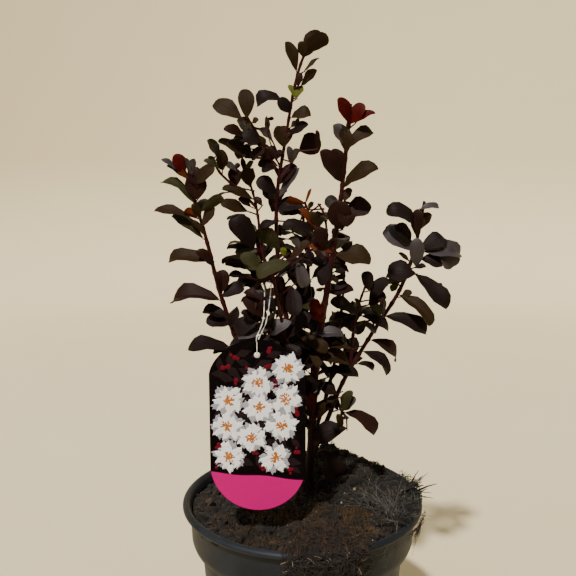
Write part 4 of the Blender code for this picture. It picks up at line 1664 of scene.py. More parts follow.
MARKS: dict[str, tuple[tuple, ...]] = {
    "centre": (
        (296.5, 71.5, 286.5, 41.5, 0.4, 60, 0, OLIVE), (304, 57, 320, 31, 0.62, -70, 0, OLIVE),
        (301, 52, 329, 39, 0.5, -58, 0.4, OLIVE), (303, 57, 301, 41, 0.72, 76, 0, OLIVE),
        (303.5, 72, 319.5, 58, 0.3, 40, -0.5, OLIVE), (301, 86, 317, 70, 0.55, -50, 0, OLIVE),
        (298, 87, 301, 73, 0.55, 60, 0, WINE), (296.5, 99, 288.5, 85, 0.34, 60, 0, LIME),
        (297, 97, 301, 86, 0.8, 60, 0, LIME), (281, 100, 257.5, 105.5, 0.58, 46, 1.8, DUSK),
        (290, 113, 278.5, 99, 0.75, 70, 0.1, DUSK), (291.5, 117.5, 311, 114.5, 0.68, 50, 1.2, OLIVE),
        (289, 136, 308.5, 124.5, 0.42, 40, 0.1, DUSK), (291, 127, 297, 122, 0.8, -60, 0.1, MAUVE),
        (296, 127, 299, 118, 0.5, -60, 0.1, GREEN), (284, 147.5, 281, 126, 0.98, 78, 0.1, OLIVE),
        (299, 151, 320.5, 139.5, 0.92, -74, 0, WINE, (291, 162)),
        (317, 149, 316.5, 130, 0.3, 60, 0, WINE, (312, 150)),
        (291, 164, 288, 146, 0.38, 62, 0, MAUVE, (282, 175)),
        (292, 163, 299.5, 149, 0.5, -58, 0.1, MAUVE, (283, 176)),
        (279, 197, 299.5, 168, 0.36, 50, -0.3, MAUVE), (279, 185, 296, 165, 0.5, 60, 0.1, WINE),
        (305, 207.5, 278.5, 207, 0.6, 58, 0.4, DUSK, (300, 222)),
        (303, 213, 283, 213.5, 0.46, 50, 0.4, DUSK, (300, 222)),
        (276, 194, 256.5, 180, 0.62, 60, 0.5, DUSK), (268, 197, 259, 181, 0.5, 60, 0.1, DUSK),
        (272, 140, 259, 129, 0.6, -55, 0.1, MAUVE, (278, 154)),
        (267, 134, 266, 117, 0.34, -62, 0.1, MAUVE, (272, 141)),
        (267, 119, 274, 119, 0.5, 60, 0.2, DUSK, (268, 131)), (276, 160, 268.5, 147, 0.6, 55, 0.2, WINE),
        (276, 160, 281.5, 150, 0.6, 60, 0.2, DUSK), (277, 168, 262, 172, 0.5, 52, 0.8, DUSK),
        (278, 166, 258, 163, 0.56, 58, 0.2, WINE), (273, 166, 262, 166, 0.5, -52, 0.3, GREEN),
        (268, 198, 273, 212, 0.4, 52, 0.1, DUSK), (277, 222, 261, 229, 0.5, 52, 0.6, DUSK),
        (281, 250, 258, 230, 0.55, -62, 0.1, GREEN), (283, 250, 279, 240, 0.6, 60, 0.2, WINE),
    ),
    "centre_left": (
        (242, 119, 214, 103, 0.5, 58, 0.3, OLIVE), (247, 118.5, 245, 89, 0.56, 78, 0, OLIVE),
        (246, 138.5, 223.5, 129.5, 0.48, 45, 0.4, WINE), (251, 133, 237.5, 119, 0.7, -60, 0.1, MAUVE),
        (249, 129, 243, 118, 0.5, -60, 0.2, GREEN), (243.5, 155, 218, 140.5, 0.42, -50, 0.3, OLIVE),
        (252, 123, 258.5, 119, 0.8, 60, 0.2, OLIVE), (247, 157, 228, 141, 0.6, 60, 0.2, OLIVE),
        (261, 142, 240, 139, 0.72, 55, 0.8, DUSK), (266, 147, 252, 160, 0.6, 60, 0.4, WINE),
        (251, 149, 236, 157, 0.6, 52, 0.4, DUSK), (264, 150, 256, 137, 0.8, 60, 0.2, OLIVE),
        (250, 158, 243, 146, 0.7, 60, 0.2, OLIVE), (270, 158, 256, 150, 0.55, 60, 0.2, OLIVE),
    ),
    "far_left": (
        (218, 157, 208.5, 139, 0.52, -62, 0.2, GREEN), (216, 156, 218, 144, 0.6, -62, 0.2, MAUVE),
        (220, 169, 203.5, 161, 0.55, 50, 0.3, GREEN), (222.5, 171, 219.5, 149.5, 0.62, 72, 0.1, OLIVE),
        (214, 166, 209, 156, 0.6, -60, 0.2, GREEN),
    ),
    "left_inner": (
        (254, 200, 222, 189, 0.38, 50, 0.2, OLIVE), (248, 211.5, 220.5, 204, 0.4, 52, 0.3, OLIVE),
        (236, 187, 233, 169, 0.8, 76, 0.1, WINE), (236, 172, 226, 163, 0.6, -62, 0.1, MAUVE),
        (233, 170, 240, 164, 0.55, -60, 0.1, MAUVE), (249, 186, 246, 168, 0.85, 74, 0.1, OLIVE),
        (251, 186, 252, 168, 0.5, 60, 0.1, WINE), (244, 172, 242, 158, 0.4, 70, 0, WINE),
        (246, 171, 253, 161, 0.5, -58, 0.1, GREEN), (254.5, 248, 230, 219, 0.64, 62, 0.3, DUSK),
        (251, 207, 238, 199, 0.5, 52, 0.2, WINE), (252, 248, 226.5, 249, 0.3, 45, 0.3, DUSK),
        (262, 262, 235, 252, 0.5, -58, 0.2, GREEN), (259, 270, 236, 263, 0.42, 55, 0.2, GREEN),
        (246, 268, 225, 264, 0.45, 52, 0.4, DUSK), (248, 278, 229, 275, 0.42, 45, 0.4, DUSK),
        (258, 252, 249, 250, 0.6, 60, 0.2, MAUVE), (262, 206, 254, 198, 0.7, 60, 0.2, WINE),
    ),
    "left": (
        (184.5, 174.5, 175, 154, 0.64, 74, 0, RED), (190, 175, 184.5, 158, 0.36, -62, 0, MAUVE),
        (192, 175, 194, 158.5, 0.5, -62, 0.1, MAUVE), (180, 171, 161, 159.5, 0.36, 45, -0.1, MAUVE),
        (187, 179, 166.5, 165.5, 0.3, 45, 0, OLIVE), (188, 179, 177, 170, 0.46, 60, 0, EMBER),
        (196, 184, 214.5, 167, 0.56, 54, -0.2, OLIVE), (197, 187, 193, 167.5, 0.8, 78, 0, WINE),
        (197.5, 200, 194.5, 176, 0.98, 84, 0, WINE), (194, 203.5, 161, 183, 0.38, 42, 0.9, GREEN),
        (191, 216.5, 154, 211.5, 0.36, 45, 0.2, OLIVE), (199, 217, 184, 211, 0.6, -62, 0, EMBER),
        (200, 218, 192, 204, 0.6, 62, 0, OLIVE), (201, 212, 224, 198.5, 0.44, -50, 0.3, GREEN),
        (203, 226, 214, 207, 0.52, 60, -0.2, OLIVE), (203.5, 239, 172, 215.5, 0.34, 45, 0, GREEN),
        (205, 236, 190, 220, 0.34, 50, 0.1, OLIVE), (214, 262, 169, 261.5, 0.38, 46, 0.6, OLIVE),
        (214, 266, 196, 251, 0.5, 60, 0.2, WINE), (220, 300.5, 173, 303, 0.46, 44, 0.95, WINE),
        (231.5, 349, 188, 349, 0.42, 42, 0.55, DUSK), (227, 317, 203, 311, 0.6, 56, 0.2, DUSK),
        (229, 325, 206, 321, 0.6, 56, 0.2, DUSK), (222, 297, 243.5, 287, 0.6, 60, 0.5, DUSK),
        (222, 292, 221, 270, 0.72, 72, 0.3, WINE), (231, 328, 239, 311, 0.5, 60, 0.2, DUSK),
        (233, 351, 213, 353.5, 0.36, 45, 0.2, DUSK),
    ),
    "right_centre": (
        (350.5, 123.5, 338, 98, 0.44, 55, 0, RED), (348, 122, 340, 103, 0.5, 70, 0, RED),
        (350.5, 124, 363.5, 103.5, 0.66, 70, 0, RED), (354.5, 124, 375.5, 113, 0.34, 42, 0.8, RED),
        (347, 146, 335, 124, 0.66, 68, 0, MAUVE), (347, 153, 344, 128, 0.62, 80, 0, OLIVE),
        (348, 148.5, 372.5, 132, 0.44, 50, 1.3, OLIVE), (341, 182, 320.5, 150.5, 0.5, 62, 0, WINE),
        (342, 178, 334, 148.5, 0.56, 74, 0, WINE), (344.5, 187, 378.5, 168.5, 0.5, 50, 0.7, OLIVE),
        (345, 217.5, 369.5, 203, 0.66, 56, 0.2, WINE), (338, 204, 349, 226, 0.8, 74, 0.2, WINE),
        (342, 230, 336, 201, 0.8, 80, 0, WINE), (338, 211, 326, 197.5, 0.78, -66, 0.1, MAUVE),
        (344, 202, 350.5, 188, 0.6, 62, 0, OLIVE), (335, 255, 371, 261.5, 0.58, 52, 0.5, OLIVE),
        (334, 262, 352, 259, 0.5, 60, 0.2, WINE), (329, 293.5, 353.5, 289.5, 0.5, 60, 0.2, WINE),
        (333, 290, 347, 283, 0.5, 60, 0.2, DUSK), (334, 272, 347.5, 269.5, 0.5, 52, 0.2, DUSK),
        (333, 280, 345, 277, 0.5, 52, 0.2, WINE), (312, 334, 343.5, 335.5, 0.4, 55, 0.2, MAUVE),
        (304, 360, 348, 364.5, 0.36, 52, 0.9, OLIVE), (321, 371, 358.5, 376.5, 0.3, 52, 0.4, DUSK),
        (323, 450, 335, 479, 0.7, 66, 0.3, DUSK), (326, 378, 316, 394.5, 0.62, 58, 0.4, MAUVE),
        (310, 374, 314, 393, 0.46, -60, 0.2, MAUVE), (313, 378, 306, 396, 0.5, 60, 0.2, WINE),
        (337, 394, 321, 387, 0.7, 55, 0.6, DUSK), (313, 408, 303, 390, 0.7, 60, 0.2, RED),
        (336, 399, 327, 402, 0.6, 55, 0.4, OLIVE), (312, 420, 333, 405, 0.6, 54, 0.4, WINE),
        (322, 414, 325, 402, 0.7, 60, 0.2, OLIVE), (312, 417, 304.5, 411, 0.42, 52, 0.1, DUSK),
        (312.5, 420, 305, 426.5, 0.5, 52, 0.2, DUSK), (333, 253, 308, 246, 0.26, 55, 0.2, EMBER),
        (326, 250, 315, 228, 0.58, 60, 0.1, WINE), (322, 247, 312, 238, 0.6, 60, 0.1, DUSK),
        (330, 262, 322, 286, 0.5, 55, 0.2, DUSK), (324, 312, 309, 304, 0.7, 60, 0.3, RED),
        (324, 322, 310, 310, 0.6, 60, 0.3, RED), (300, 337, 327, 352, 0.46, 60, 0.4, OLIVE),
        (353, 349, 331, 347.5, 0.36, 50, 0.2, OLIVE),
    ),
    "inner_right": (
        (305, 204, 311.5, 188.5, 0.22, 55, -0.6, EMBER, (309, 213)),
        (306, 204, 286, 201, 0.34, -60, 0.3, EMBER, (309, 213)), (309, 210, 313, 202, 0.6, -60, 0.2, GREEN),
        (317, 229, 300, 209, 0.34, 62, 0.1, EMBER), (318, 226, 311, 212, 0.6, 72, 0.1, OLIVE),
        (320, 216, 326, 220, 0.6, -60, 0.2, GREEN), (315, 234, 282, 227.5, 0.34, 46, 1, DUSK),
        (308, 236, 292, 230, 0.4, -60, 0.2, MAUVE), (308, 248, 311, 265, 0.5, 60, 0.2, DUSK),
    ),
    "right": (
        (414, 225, 386, 212.5, 0.46, 46, 1.6, DUSK), (420, 209, 439, 207.5, 0.42, 45, 0.9, MAUVE),
        (416, 236, 418.5, 209, 0.5, 80, 0, WINE), (418, 230, 431.5, 214, 0.6, -56, 0.1, OLIVE),
        (413, 251, 384.5, 229.5, 0.6, 62, 0.4, MAUVE), (411, 240, 395, 226, 0.6, 60, 0.4, DUSK),
        (416, 267, 416, 238, 0.56, 78, 0.1, MAUVE), (421, 251, 444.5, 238, 0.6, 60, 0.6, DUSK),
        (424, 252, 460, 254, 0.56, 60, 0.6, MAUVE), (440, 249, 453, 267, 0.85, 62, 0.2, MAUVE, (428, 252)),
        (421, 259, 442.5, 264, 0.7, 56, 0.4, DUSK), (414, 268, 426, 267, 0.5, 52, 0.2, DUSK),
        (410, 262, 398.5, 253, 0.36, 50, 0.1, OLIVE), (415, 274, 387.5, 273, 0.84, 68, 0.8, DUSK),
        (404, 281, 388, 282, 0.6, -58, 0.2, GREEN), (399, 284, 391, 291, 0.7, -58, 0.2, GREEN),
        (415.5, 274, 447, 308.5, 0.42, 52, -0.1, DUSK),
        (437, 301, 441.5, 283, 0.46, 58, 0.1, DUSK, (431, 293)),
        (398, 294.5, 430, 326, 0.4, 46, 0.65, OLIVE), (401, 297, 412, 292, 0.6, 60, 0.4, OLIVE),
        (385, 316, 426, 333.5, 0.46, 49, 0.5, DUSK), (370.5, 340, 394, 360, 0.42, 44, 1.45, WINE),
        (362, 351.5, 387, 375, 0.42, 44, 1.3, DUSK), (357, 364, 373, 370.5, 0.42, 45, 1.3, DUSK),
        (338, 410, 329, 396, 0.5, 55, 0.2, DUSK),
    ),
    "right_inner": (
        (369, 291, 364.5, 271.5, 0.72, 70, 0.1, DUSK), (369, 300, 388.5, 279, 0.5, 55, 0.3, DUSK),
        (368, 305, 386, 296, 0.66, 55, 0.4, WINE), (380, 318, 372, 305, 0.66, -62, 0.1, GREEN),
        (383, 317, 384.5, 300, 0.42, -64, 0.1, MAUVE), (361, 309, 354.5, 298.5, 0.36, 56, 0.1, OLIVE),
        (356, 315, 330, 302, 0.42, 48, 0.8, DUSK), (356, 317.5, 329, 321.5, 0.32, 45, 0.9, DUSK),
        (361, 316, 388, 331.5, 0.38, 48, 1.1, DUSK), (354, 334, 340.5, 325.5, 0.34, 42, 0.8, DUSK),
        (363, 322, 376, 333, 0.5, 55, 0.3, MAUVE),
    ),
    "low_right": (
        (344.5, 412.5, 374.5, 434.5, 0.4, 44, 1.4, WINE), (342, 412, 352.5, 391, 0.46, 62, 0.2, GREEN),
        (345, 410, 356, 398, 0.6, 60, 0.2, MAUVE), (347, 428, 315.5, 441, 0.6, 60, 0.8, DUSK),
        (340, 430, 337, 414, 0.5, 60, 0.1, OLIVE), (341, 419, 346.5, 418, 0.6, 52, 0.1, DUSK),
    ),
    "front": (
        (291, 262, 257.5, 277.5, 0.44, 58, 0.4, GREEN), (288, 262, 309.5, 241, 0.32, 55, -0.2, OLIVE),
        (286, 256, 281, 248, 0.7, 60, 0.1, LIME), (262.5, 268, 240, 256, 0.5, 55, 0.4, GREEN),
        (297, 262, 303.5, 287.5, 0.56, 66, 0.2, MAUVE), (300, 250, 292, 239, 0.6, -60, 0.1, MAUVE),
        (292, 286, 293.5, 316, 0.6, 75, 0.1, DUSK), (286, 339, 310.5, 314, 0.46, 60, 0.2, DUSK),
        (292, 322, 270, 332, 0.6, 60, 0.4, MAUVE), (268, 338, 278, 354, 0.6, 60, 0.2, DUSK),
        (285, 345, 300, 356, 0.6, 60, 0.2, DUSK),
    ),
    "front_left": (
        (262, 316, 236, 334, 0.5, 58, 0.4, DUSK), (268, 318, 243, 300, 0.5, 60, 0.3, WINE),
        (258, 322, 241, 312, 0.5, 60, 0.3, DUSK), (268, 330, 238, 338, 0.4, 52, 0.6, MAUVE),
        (250, 318, 256, 302, 0.5, 62, 0.2, OLIVE), (262, 300, 244, 292, 0.5, 58, 0.4, WINE),
        (266, 296, 262, 312, 0.6, 66, 0.2, DUSK), (270, 334, 262, 350, 0.6, 64, 0.2, DUSK),
        (256, 338, 240, 346, 0.5, 58, 0.4, DUSK),
    ),
}

SKY_WINDOWS = (
    (284, 0, 324, 30), (386, 288, 398, 314), (348, 358, 378, 392), (190, 262, 212, 303),
    (297, 87, 313, 106), (338, 294, 356, 304), (0, 0, 284, 87), (0, 0, 204, 150), (0, 262, 198, 334),
    (0, 354, 209, 576), (206, 226, 225, 263), (320, 0, 576, 97), (381, 0, 576, 204), (353, 187, 384, 268),
    (450, 0, 576, 576), (396, 336, 576, 576), (377, 380, 576, 576), (316, 60, 335, 148),
    (300, 156, 322, 188), (186, 0, 206, 165), (0, 0, 158, 576), (215, 152, 226, 160), (230, 192, 262, 198),
    (320, 460, 576, 576), (0, 234, 168, 300), (349, 258, 361, 283), (355, 283, 362, 297),
    (311, 266, 320, 289), (257, 106, 288, 124), (251, 161, 262, 196), (262, 200, 274, 226),
    (250, 208, 261, 228), (214, 170, 223, 188), (228, 300, 238, 311), (344, 378, 576, 576),
    (168, 262, 200, 276), (299, 188, 304, 196), (313, 186, 330, 203), (283, 180, 300, 196),
    (284, 211, 297, 221), (282, 233, 291, 242), (266, 246, 278, 256), (281, 276, 289, 287),
    (296, 254, 303, 261), (304, 264, 312, 290), (320, 286, 326, 310), (331, 292, 344, 299),
    (347, 205, 356, 238), (330, 221, 336, 238), (236, 281, 246, 287), (352, 268, 363, 296),
    (355, 323, 372, 345), (333, 352, 348, 360), (320, 363, 328, 369), (398, 299, 412, 312),
    (392, 322, 412, 350), (388, 333, 400, 350), (269, 171, 277, 176), (301, 40, 330, 60),
    (303, 56, 310, 66), (318, 100, 334, 146),
)

TIE_STRIP = (252, 286, 276, 352)
TIE_STRIP_DEPTH = -0.052


@dataclass(frozen=True)
class Leaf:
    """One leaf: where its blade starts, where it heads, its upper side, size and bearing."""

    foot: Array
    heading: Array
    upward: Array
    length: float
    breadth: float
    droop: float
    fold: float
    twist: float
    phase: float
    tone: Tone


class LeafCutter:
    """Turns leaves into closed thin blades of a few dozen faces."""

    ROWS = np.array((0.06, 0.20, 0.36, 0.52, 0.68, 0.82, 0.92, 0.98))
    COLUMNS = np.array((-1.0, -0.5, 0.0, 0.5, 1.0))
    THICKNESS = 0.00035
    STEPS = 50

    def __init__(self) -> None:
        """Number the corners of one blade: two ends, an upper grid, and the inner columns of a lower one."""
        rows, columns = len(self.ROWS), len(self.COLUMNS)
        upper = 2 + np.arange(rows * columns).reshape(rows, columns)
        lower = upper.copy()
        inner = columns - 2
        lower[:, 1:-1] = 2 + rows * columns + np.arange(rows * inner).reshape(rows, inner)
        self.quads = np.concatenate([self._grid(upper), self._grid(lower)[:, ::-1]])
        self.ends = np.concatenate([self._fans(upper), self._fans(lower)[:, ::-1]])
        self.each = 2 + rows * columns + rows * inner

    @classmethod
    def midrib(cls, droop: Array) -> tuple[Array, Array, Array]:
        """The bend of midribs of length one, and how far they have come ahead and down, at even steps.

        Args:
            droop: The droop of each leaf, with the step axis last.

        Returns:
            The angle below the heading, the way ahead and the way down, of shape (leaf, step).
        """
        share = np.linspace(0, 1, cls.STEPS + 1)[None]
        angle = droop * share + 0.8 * share**5 - 0.15
        still = np.zeros((len(angle), 1))
        ahead = np.concatenate([still, np.cumsum(np.cos(angle)[:, 1:], axis=1) / cls.STEPS], axis=1)
        down = np.concatenate([still, np.cumsum(np.sin(angle)[:, 1:], axis=1) / cls.STEPS], axis=1)
        return angle, ahead, down

    @staticmethod
    def _grid(index: Array) -> Array:
        """Quads of a grid of corners."""
        return stacked(index[:-1, :-1], index[1:, :-1], index[1:, 1:], index[:-1, 1:]).reshape(-1, 4)

    @staticmethod
    def _fans(index: Array) -> Array:
        """Triangles from the two end corners to the first and last rows.

        Args:
            index: Numbers of the grid's corners.

        Returns:
            The triangles.
        """
        foot = stacked(0, index[0, :-1], index[0, 1:])
        tip = stacked(1, index[-1, 1:], index[-1, :-1])
        return np.concatenate([foot, tip])

    def cut(self, leaves: Sequence[Leaf]) -> Shape:
        """Make the blades.

        At share s the midrib points droop * s + 0.8 * s⁵ - 0.15 below its heading, in radians. The half
        width is a power of s times a power of (1 - s), widest at 0.61. Each side rises by the fold's
        angle, is cupped by the square of the way across, and waves at its edge.

        Args:
            leaves: The leaves.

        Returns:
            The blades, marked with (share along, way across, chance).
        """
        heading = np.stack([leaf.heading for leaf in leaves])[:, None]
        upward = np.stack([leaf.upward for leaf in leaves])[:, None]
        foot = np.stack([leaf.foot for leaf in leaves])[:, None]
        numbers = np.array([(leaf.length, leaf.breadth, leaf.droop, leaf.fold, leaf.twist, leaf.phase)
                            for leaf in leaves])
        length, breadth, droop, fold, twist, phase = numbers.T[..., None]
        share = np.concatenate([[0.0], self.ROWS, [1.0]])[None]
        angle, ahead, down = self.midrib(droop)
        pick = np.round(share[0] * self.STEPS).astype(int)
        bend = angle[:, pick]
        line = foot + length[..., None] * (heading * ahead[:, pick, None] - upward * down[:, pick, None])
        lift = np.cos(bend)[..., None] * upward + np.sin(bend)[..., None] * heading
        side = np.broadcast_to(np.cross(upward, heading), lift.shape)
        roll = (twist * share)[..., None]
        across = np.cos(roll) * side + np.sin(roll) * lift
        normal = np.cos(roll) * lift - np.sin(roll) * side
        power = share**0.95 * np.clip(1 - share, 0, 1)**0.60
        half = 0.5 * breadth * length * power / (0.61**0.95 * 0.39**0.60)
        way = self.COLUMNS[None, None, :, None]
        flat = half[..., None, None] * way * np.cos(fold)[..., None, None]
        rise = half[..., None, None] * (np.abs(way) * np.sin(fold)[..., None, None] - 0.16 * way**2)
        wave = np.sin(math.tau * 1.7 * share[..., None] + phase[..., None] + (self.COLUMNS > 0) * 2.1)
        rise = rise + 0.15 * half[..., None, None] * (wave[..., None] * way**2)
        top = line[:, :, None] + across[:, :, None] * flat + normal[:, :, None] * rise
        thick = self.THICKNESS * (1 - way**2)
        under = (top - normal[:, :, None] * thick)[:, 1:-1, 1:-1]
        over = top[:, 1:-1]
        count = len(leaves)
        points = np.concatenate([line[:, :1], line[:, -1:], over.reshape(count, -1, 3),
                                 under.reshape(count, -1, 3)], axis=1)
        marks = self._marks(count, phase)
        shift = (np.arange(count) * self.each)[:, None, None]
        return Shape(points.reshape(-1, 3), (self.quads + shift).reshape(-1, 4),
                     (self.ends + shift).reshape(-1, 3), marks)

    def _marks(self, count: int, phase: Array) -> Array:
        """The (share along, way across, chance) of every corner of every blade.

        Args:
            count: How many blades.
            phase: Each blade's chance, as an angle.

        Returns:
            A row for each corner.
        """
        grid = np.stack(np.meshgrid(self.ROWS, self.COLUMNS, indexing="ij"), axis=-1)
        one = np.concatenate([[[0.0, 0.0], [1.0, 0.0]], grid.reshape(-1, 2), grid[:, 1:-1].reshape(-1, 2)])
        chance = np.broadcast_to(phase[:, :, None] / math.tau, (count, self.each, 1))
        return np.concatenate([np.broadcast_to(one, (count, *one.shape)), chance], -1).reshape(-1, 3)


class Plant:
    """The trunk, its shoots and what grows on them by a seeded rule."""

    BARK_SIDES = 14
    PETIOLE = 0.0022
    SIDEWAYS = 0.62
    MARK_REACH = 0.009
    MARK_CLEAR = 8.0
    SIDE_ON = 50.0
    OPEN_SHOOTS = ("left", "right", "right_centre")
    SIZE_ALONG = ((0, 0.25, 0.65, 0.88, 1), (0.88, 1.05, 1, 0.80, 0.58))
    YOUNG_FROM = 0.84

    def __init__(self, keep_out: tuple[Array, Array]) -> None:
        """Lay out the paths of the shoots.

        Args:
            keep_out: Low and high corners of the box in front that leaves stay out of.
        """
        self.keep_out = keep_out
        self.paths: dict[str, Array] = {}
        drawn = []
        for shoot in SHOOTS:
            points = list(shoot.bends)
            if shoot.parent:
                parent = self.paths[shoot.parent]
                points.insert(0, tuple(stretch(parent, shoot.leaves_at, shoot.leaves_at, 1)[0]))
            path = smooth_path(points)
            self.paths[shoot.name] = path
            drawn.append(stretch(path, 0, 1 - shoot.unseen_tip / lengths_along(path)[-1], 200))
        self.stems = np.concatenate(drawn)
        self.leaves: list[Leaf] = []
        self.stalks: list[tuple[Array, Array]] = []
        self.twigs: list[Array] = []
        self.nodes: dict[str, Array] = {}
        self.marked: list[tuple[Array, Array]] = []
        self.shown: list[tuple[float, float, float]] = []

    def place_marks(self, name: str, rng: np.random.Generator) -> None:
        """Add the leaves of a shoot that the photo shows clearly.

        A blade runs from its foot to its tip, each at its own depth, so its chord is known. Its upper
        side is square to the chord, turned from upwards to the camera by the mark's angle. A midrib
        of length one ends so far ahead and so far down, which gives the heading and the length.

        Args:
            name: The shoot's name.
            rng: The source of chance.
        """
        path = self.paths[name]
        up = VIEW.axes()[1]
        seen = VIEW.pixels(path)
        first = len(self.marked)
        for mark in itertools.starmap(Mark, MARKS.get(name, ())):
            near = int(np.argmin(np.linalg.norm(seen - np.array(mark.foot), axis=1)))
            depth = path[near][1] - 0.0025
            foot = VIEW.spot(mark.foot, depth)
            flat = VIEW.spot(mark.tip, depth) - foot
            chord = VIEW.spot(mark.tip, depth + rng.uniform(-0.45, 0.25) * np.linalg.norm(flat)) - foot
            along = unit(chord)
            facing = unit(np.array(VIEW.eye) - foot)
            facing = unit(facing - (facing @ along) * along)
            above = np.cross(facing, along)
            above = above * (1.0 if above @ up > 0 else -1.0)
            face = math.radians(mark.face)
            top = unit(above * math.cos(face) + facing * math.sin(face))
            seen_from_side = abs(mark.face) <= self.SIDE_ON
            _, ahead, down = LeafCutter.midrib(np.array([[mark.bend]]))
            turn = math.atan2(down[0, -1], ahead[0, -1])
            heading = along * math.cos(turn) + top * math.sin(turn)
            upward = top * math.cos(turn) - along * math.sin(turn)
            length = float(np.linalg.norm(chord)) / math.hypot(down[0, -1], ahead[0, -1])
            wide = min(1.0, mark.wide * (0.80 if seen_from_side else 0.98) / max(0.62, abs(math.sin(face))))
            before = unit(path[min(near + 1, len(path) - 1)] - path[max(near - 1, 0)])
            start = path[near] - before * max(0.002, 0.6 * float(np.linalg.norm(path[near] - foot)))
            if mark.joint:
                start = VIEW.spot(mark.joint, depth)
                feet = np.array([place for place, _ in self.marked[first:]]).reshape(-1, 3)
                holds = np.concatenate([self.stems, feet])
                self.stalks.append((holds[np.linalg.norm(holds - start, axis=1).argmin()], start))
            self.stalks.append((start, foot))
            self.marked.append((foot, along))
            self.shown.append((*(0.5 * (np.array(mark.foot) + mark.tip)), foot[1]))
            self.leaves.append(Leaf(foot, heading, upward, length, wide, mark.bend, rng.uniform(0.22, 0.58),
                                    rng.normal(0, 0.14), rng.uniform(0, math.tau), mark.tone))

    def has_room(self, foot: Array, heading: Array, length: float) -> bool:
        """Whether a leaf keeps clear of the label, the marked leaves and the photo's open sky.

        Args:
            foot: Where the blade starts.
            heading: Where it heads.
            length: Its length.

        Returns:
            True where nothing is in its way.
        """
        tip = foot + heading * length
        low, high = self.keep_out
        if ((tip > low) & (tip < high)).all() or foot[1] < low[1] or tip[1] < low[1]:
            return False
        if min(foot[1], tip[1]) < TIE_STRIP_DEPTH:
            left, top, right, bottom = TIE_STRIP
            for part in (0.0, 0.5, 1.0):
                across, below = VIEW.pixels(foot + heading * length * part)
                if left < across < right and top < below < bottom:
                    return False
        if any(np.linalg.norm(foot - place) < self.MARK_REACH and heading @ along > 0.3
               for place, along in self.marked):
            return False
        shown = np.array(self.shown)
        for part in (0.35, 0.6, 0.9):
            place = foot + heading * length * part
            across, below = VIEW.pixels(place)
            if any(left < across < right and top < below < bottom
                   for left, top, right, bottom in SKY_WINDOWS):
                return False
            hides = np.hypot(shown[:, 0] - across, shown[:, 1] - below) < self.MARK_CLEAR
            if (hides & (place[1] < shown[:, 2] + 0.004)).any():
                return False
        return True

    def leaf(self, rng: np.random.Generator, foot: Array, tangent: Array, out: Array, spread: float,
             length: float, droop: float, tone: Tone, radius: float) -> bool:
        """Add a leaf with its stalk where it has room.

        The leaf heads out at the spread's angle from the stem, and its upper side is turned part of
        the way towards the sky.

        Args:
            rng: The source of chance.
            foot: The middle of the stem where it grows.
            tangent: The stem's direction.
            out: Its own direction, square to the stem.
            spread: Its angle from the stem, in degrees.
            length: Its length.
            droop: How far it bends down, in radians.
            tone: Its colour.
            radius: The stem's radius.

        Returns:
            Whether it had room.
        """
        angle = math.radians(spread + rng.normal(0, 7))
        heading = unit(out * math.sin(angle) + tangent * math.cos(angle))
        sky = tangent + np.array((0.0, 0.0, 0.6)) + rng.normal(0, 0.20, 3)
        upward = unit(sky - (sky @ heading) * heading)
        start = foot + out * radius * 0.6
        blade = start + heading * self.PETIOLE * rng.uniform(0.6, 1.3)
        made = Leaf(
            blade, heading, upward, length * rng.uniform(0.86, 1.12), rng.uniform(0.56, 0.72),
            droop * rng.uniform(0.7, 1.9), rng.uniform(0.18, 0.62), rng.normal(0, 0.25),
            rng.uniform(0, math.tau), tone)
        fits = self.has_room(blade, heading, made.length)
        if fits:
            self.stalks.append((start, blade))
            self.leaves.append(made)
        return fits

    def twig(self, rng: np.random.Generator, foot: Array, tangent: Array, out: Array, size: float,
             tone: Tone) -> None:
        """Add a side twig that curves upwards, with pairs of leaves and a leafy tip.

        Args:
            rng: The source of chance.
            foot: Where it leaves the stem.
            tangent: The stem's direction.
            out: Its own direction, square to the stem.
            size: Its usual length.
            tone: The colour of its leaves.
        """
        length = rng.uniform(0.6, 1.05) * size
        heading = unit(out + 0.75 * tangent)
        share = np.linspace(0, 1, 8)[:, None]
        path = foot + length * (heading * share + np.array((0.0, 0.0, 0.30)) * share**2)
        if not (self.has_room(path[3], heading, 0.5 * length)
                and self.has_room(path[5], heading, 0.2 * length)):
            return
        reach = 0.0
        pairs = 2 if length < 0.026 else 3
        for pair in range(1, pairs + 1):
            place = path[min(7, round(7 * pair / pairs))]
            way = unit(path[-1] - path[-3])
            side = unit(np.cross(way, rng.normal(size=3)))
            shrink = 0.92 - 0.12 * pair
            for sign in (1, -1):
                if self.leaf(rng, place, way, sign * side, 50, 0.032 * shrink, 0.7, tone, 0.0006):
                    reach = pair / pairs
        way = unit(path[-1] - path[-2])
        if self.leaf(rng, path[-1], way, unit(rng.normal(size=3)), 18, 0.022, 0.4, tone, 0.0):
            reach = 1.0
        if reach > 0:
            share = reach * share
            self.twigs.append(foot + length * (heading * share + np.array((0.0, 0.0, 0.30)) * share**2))

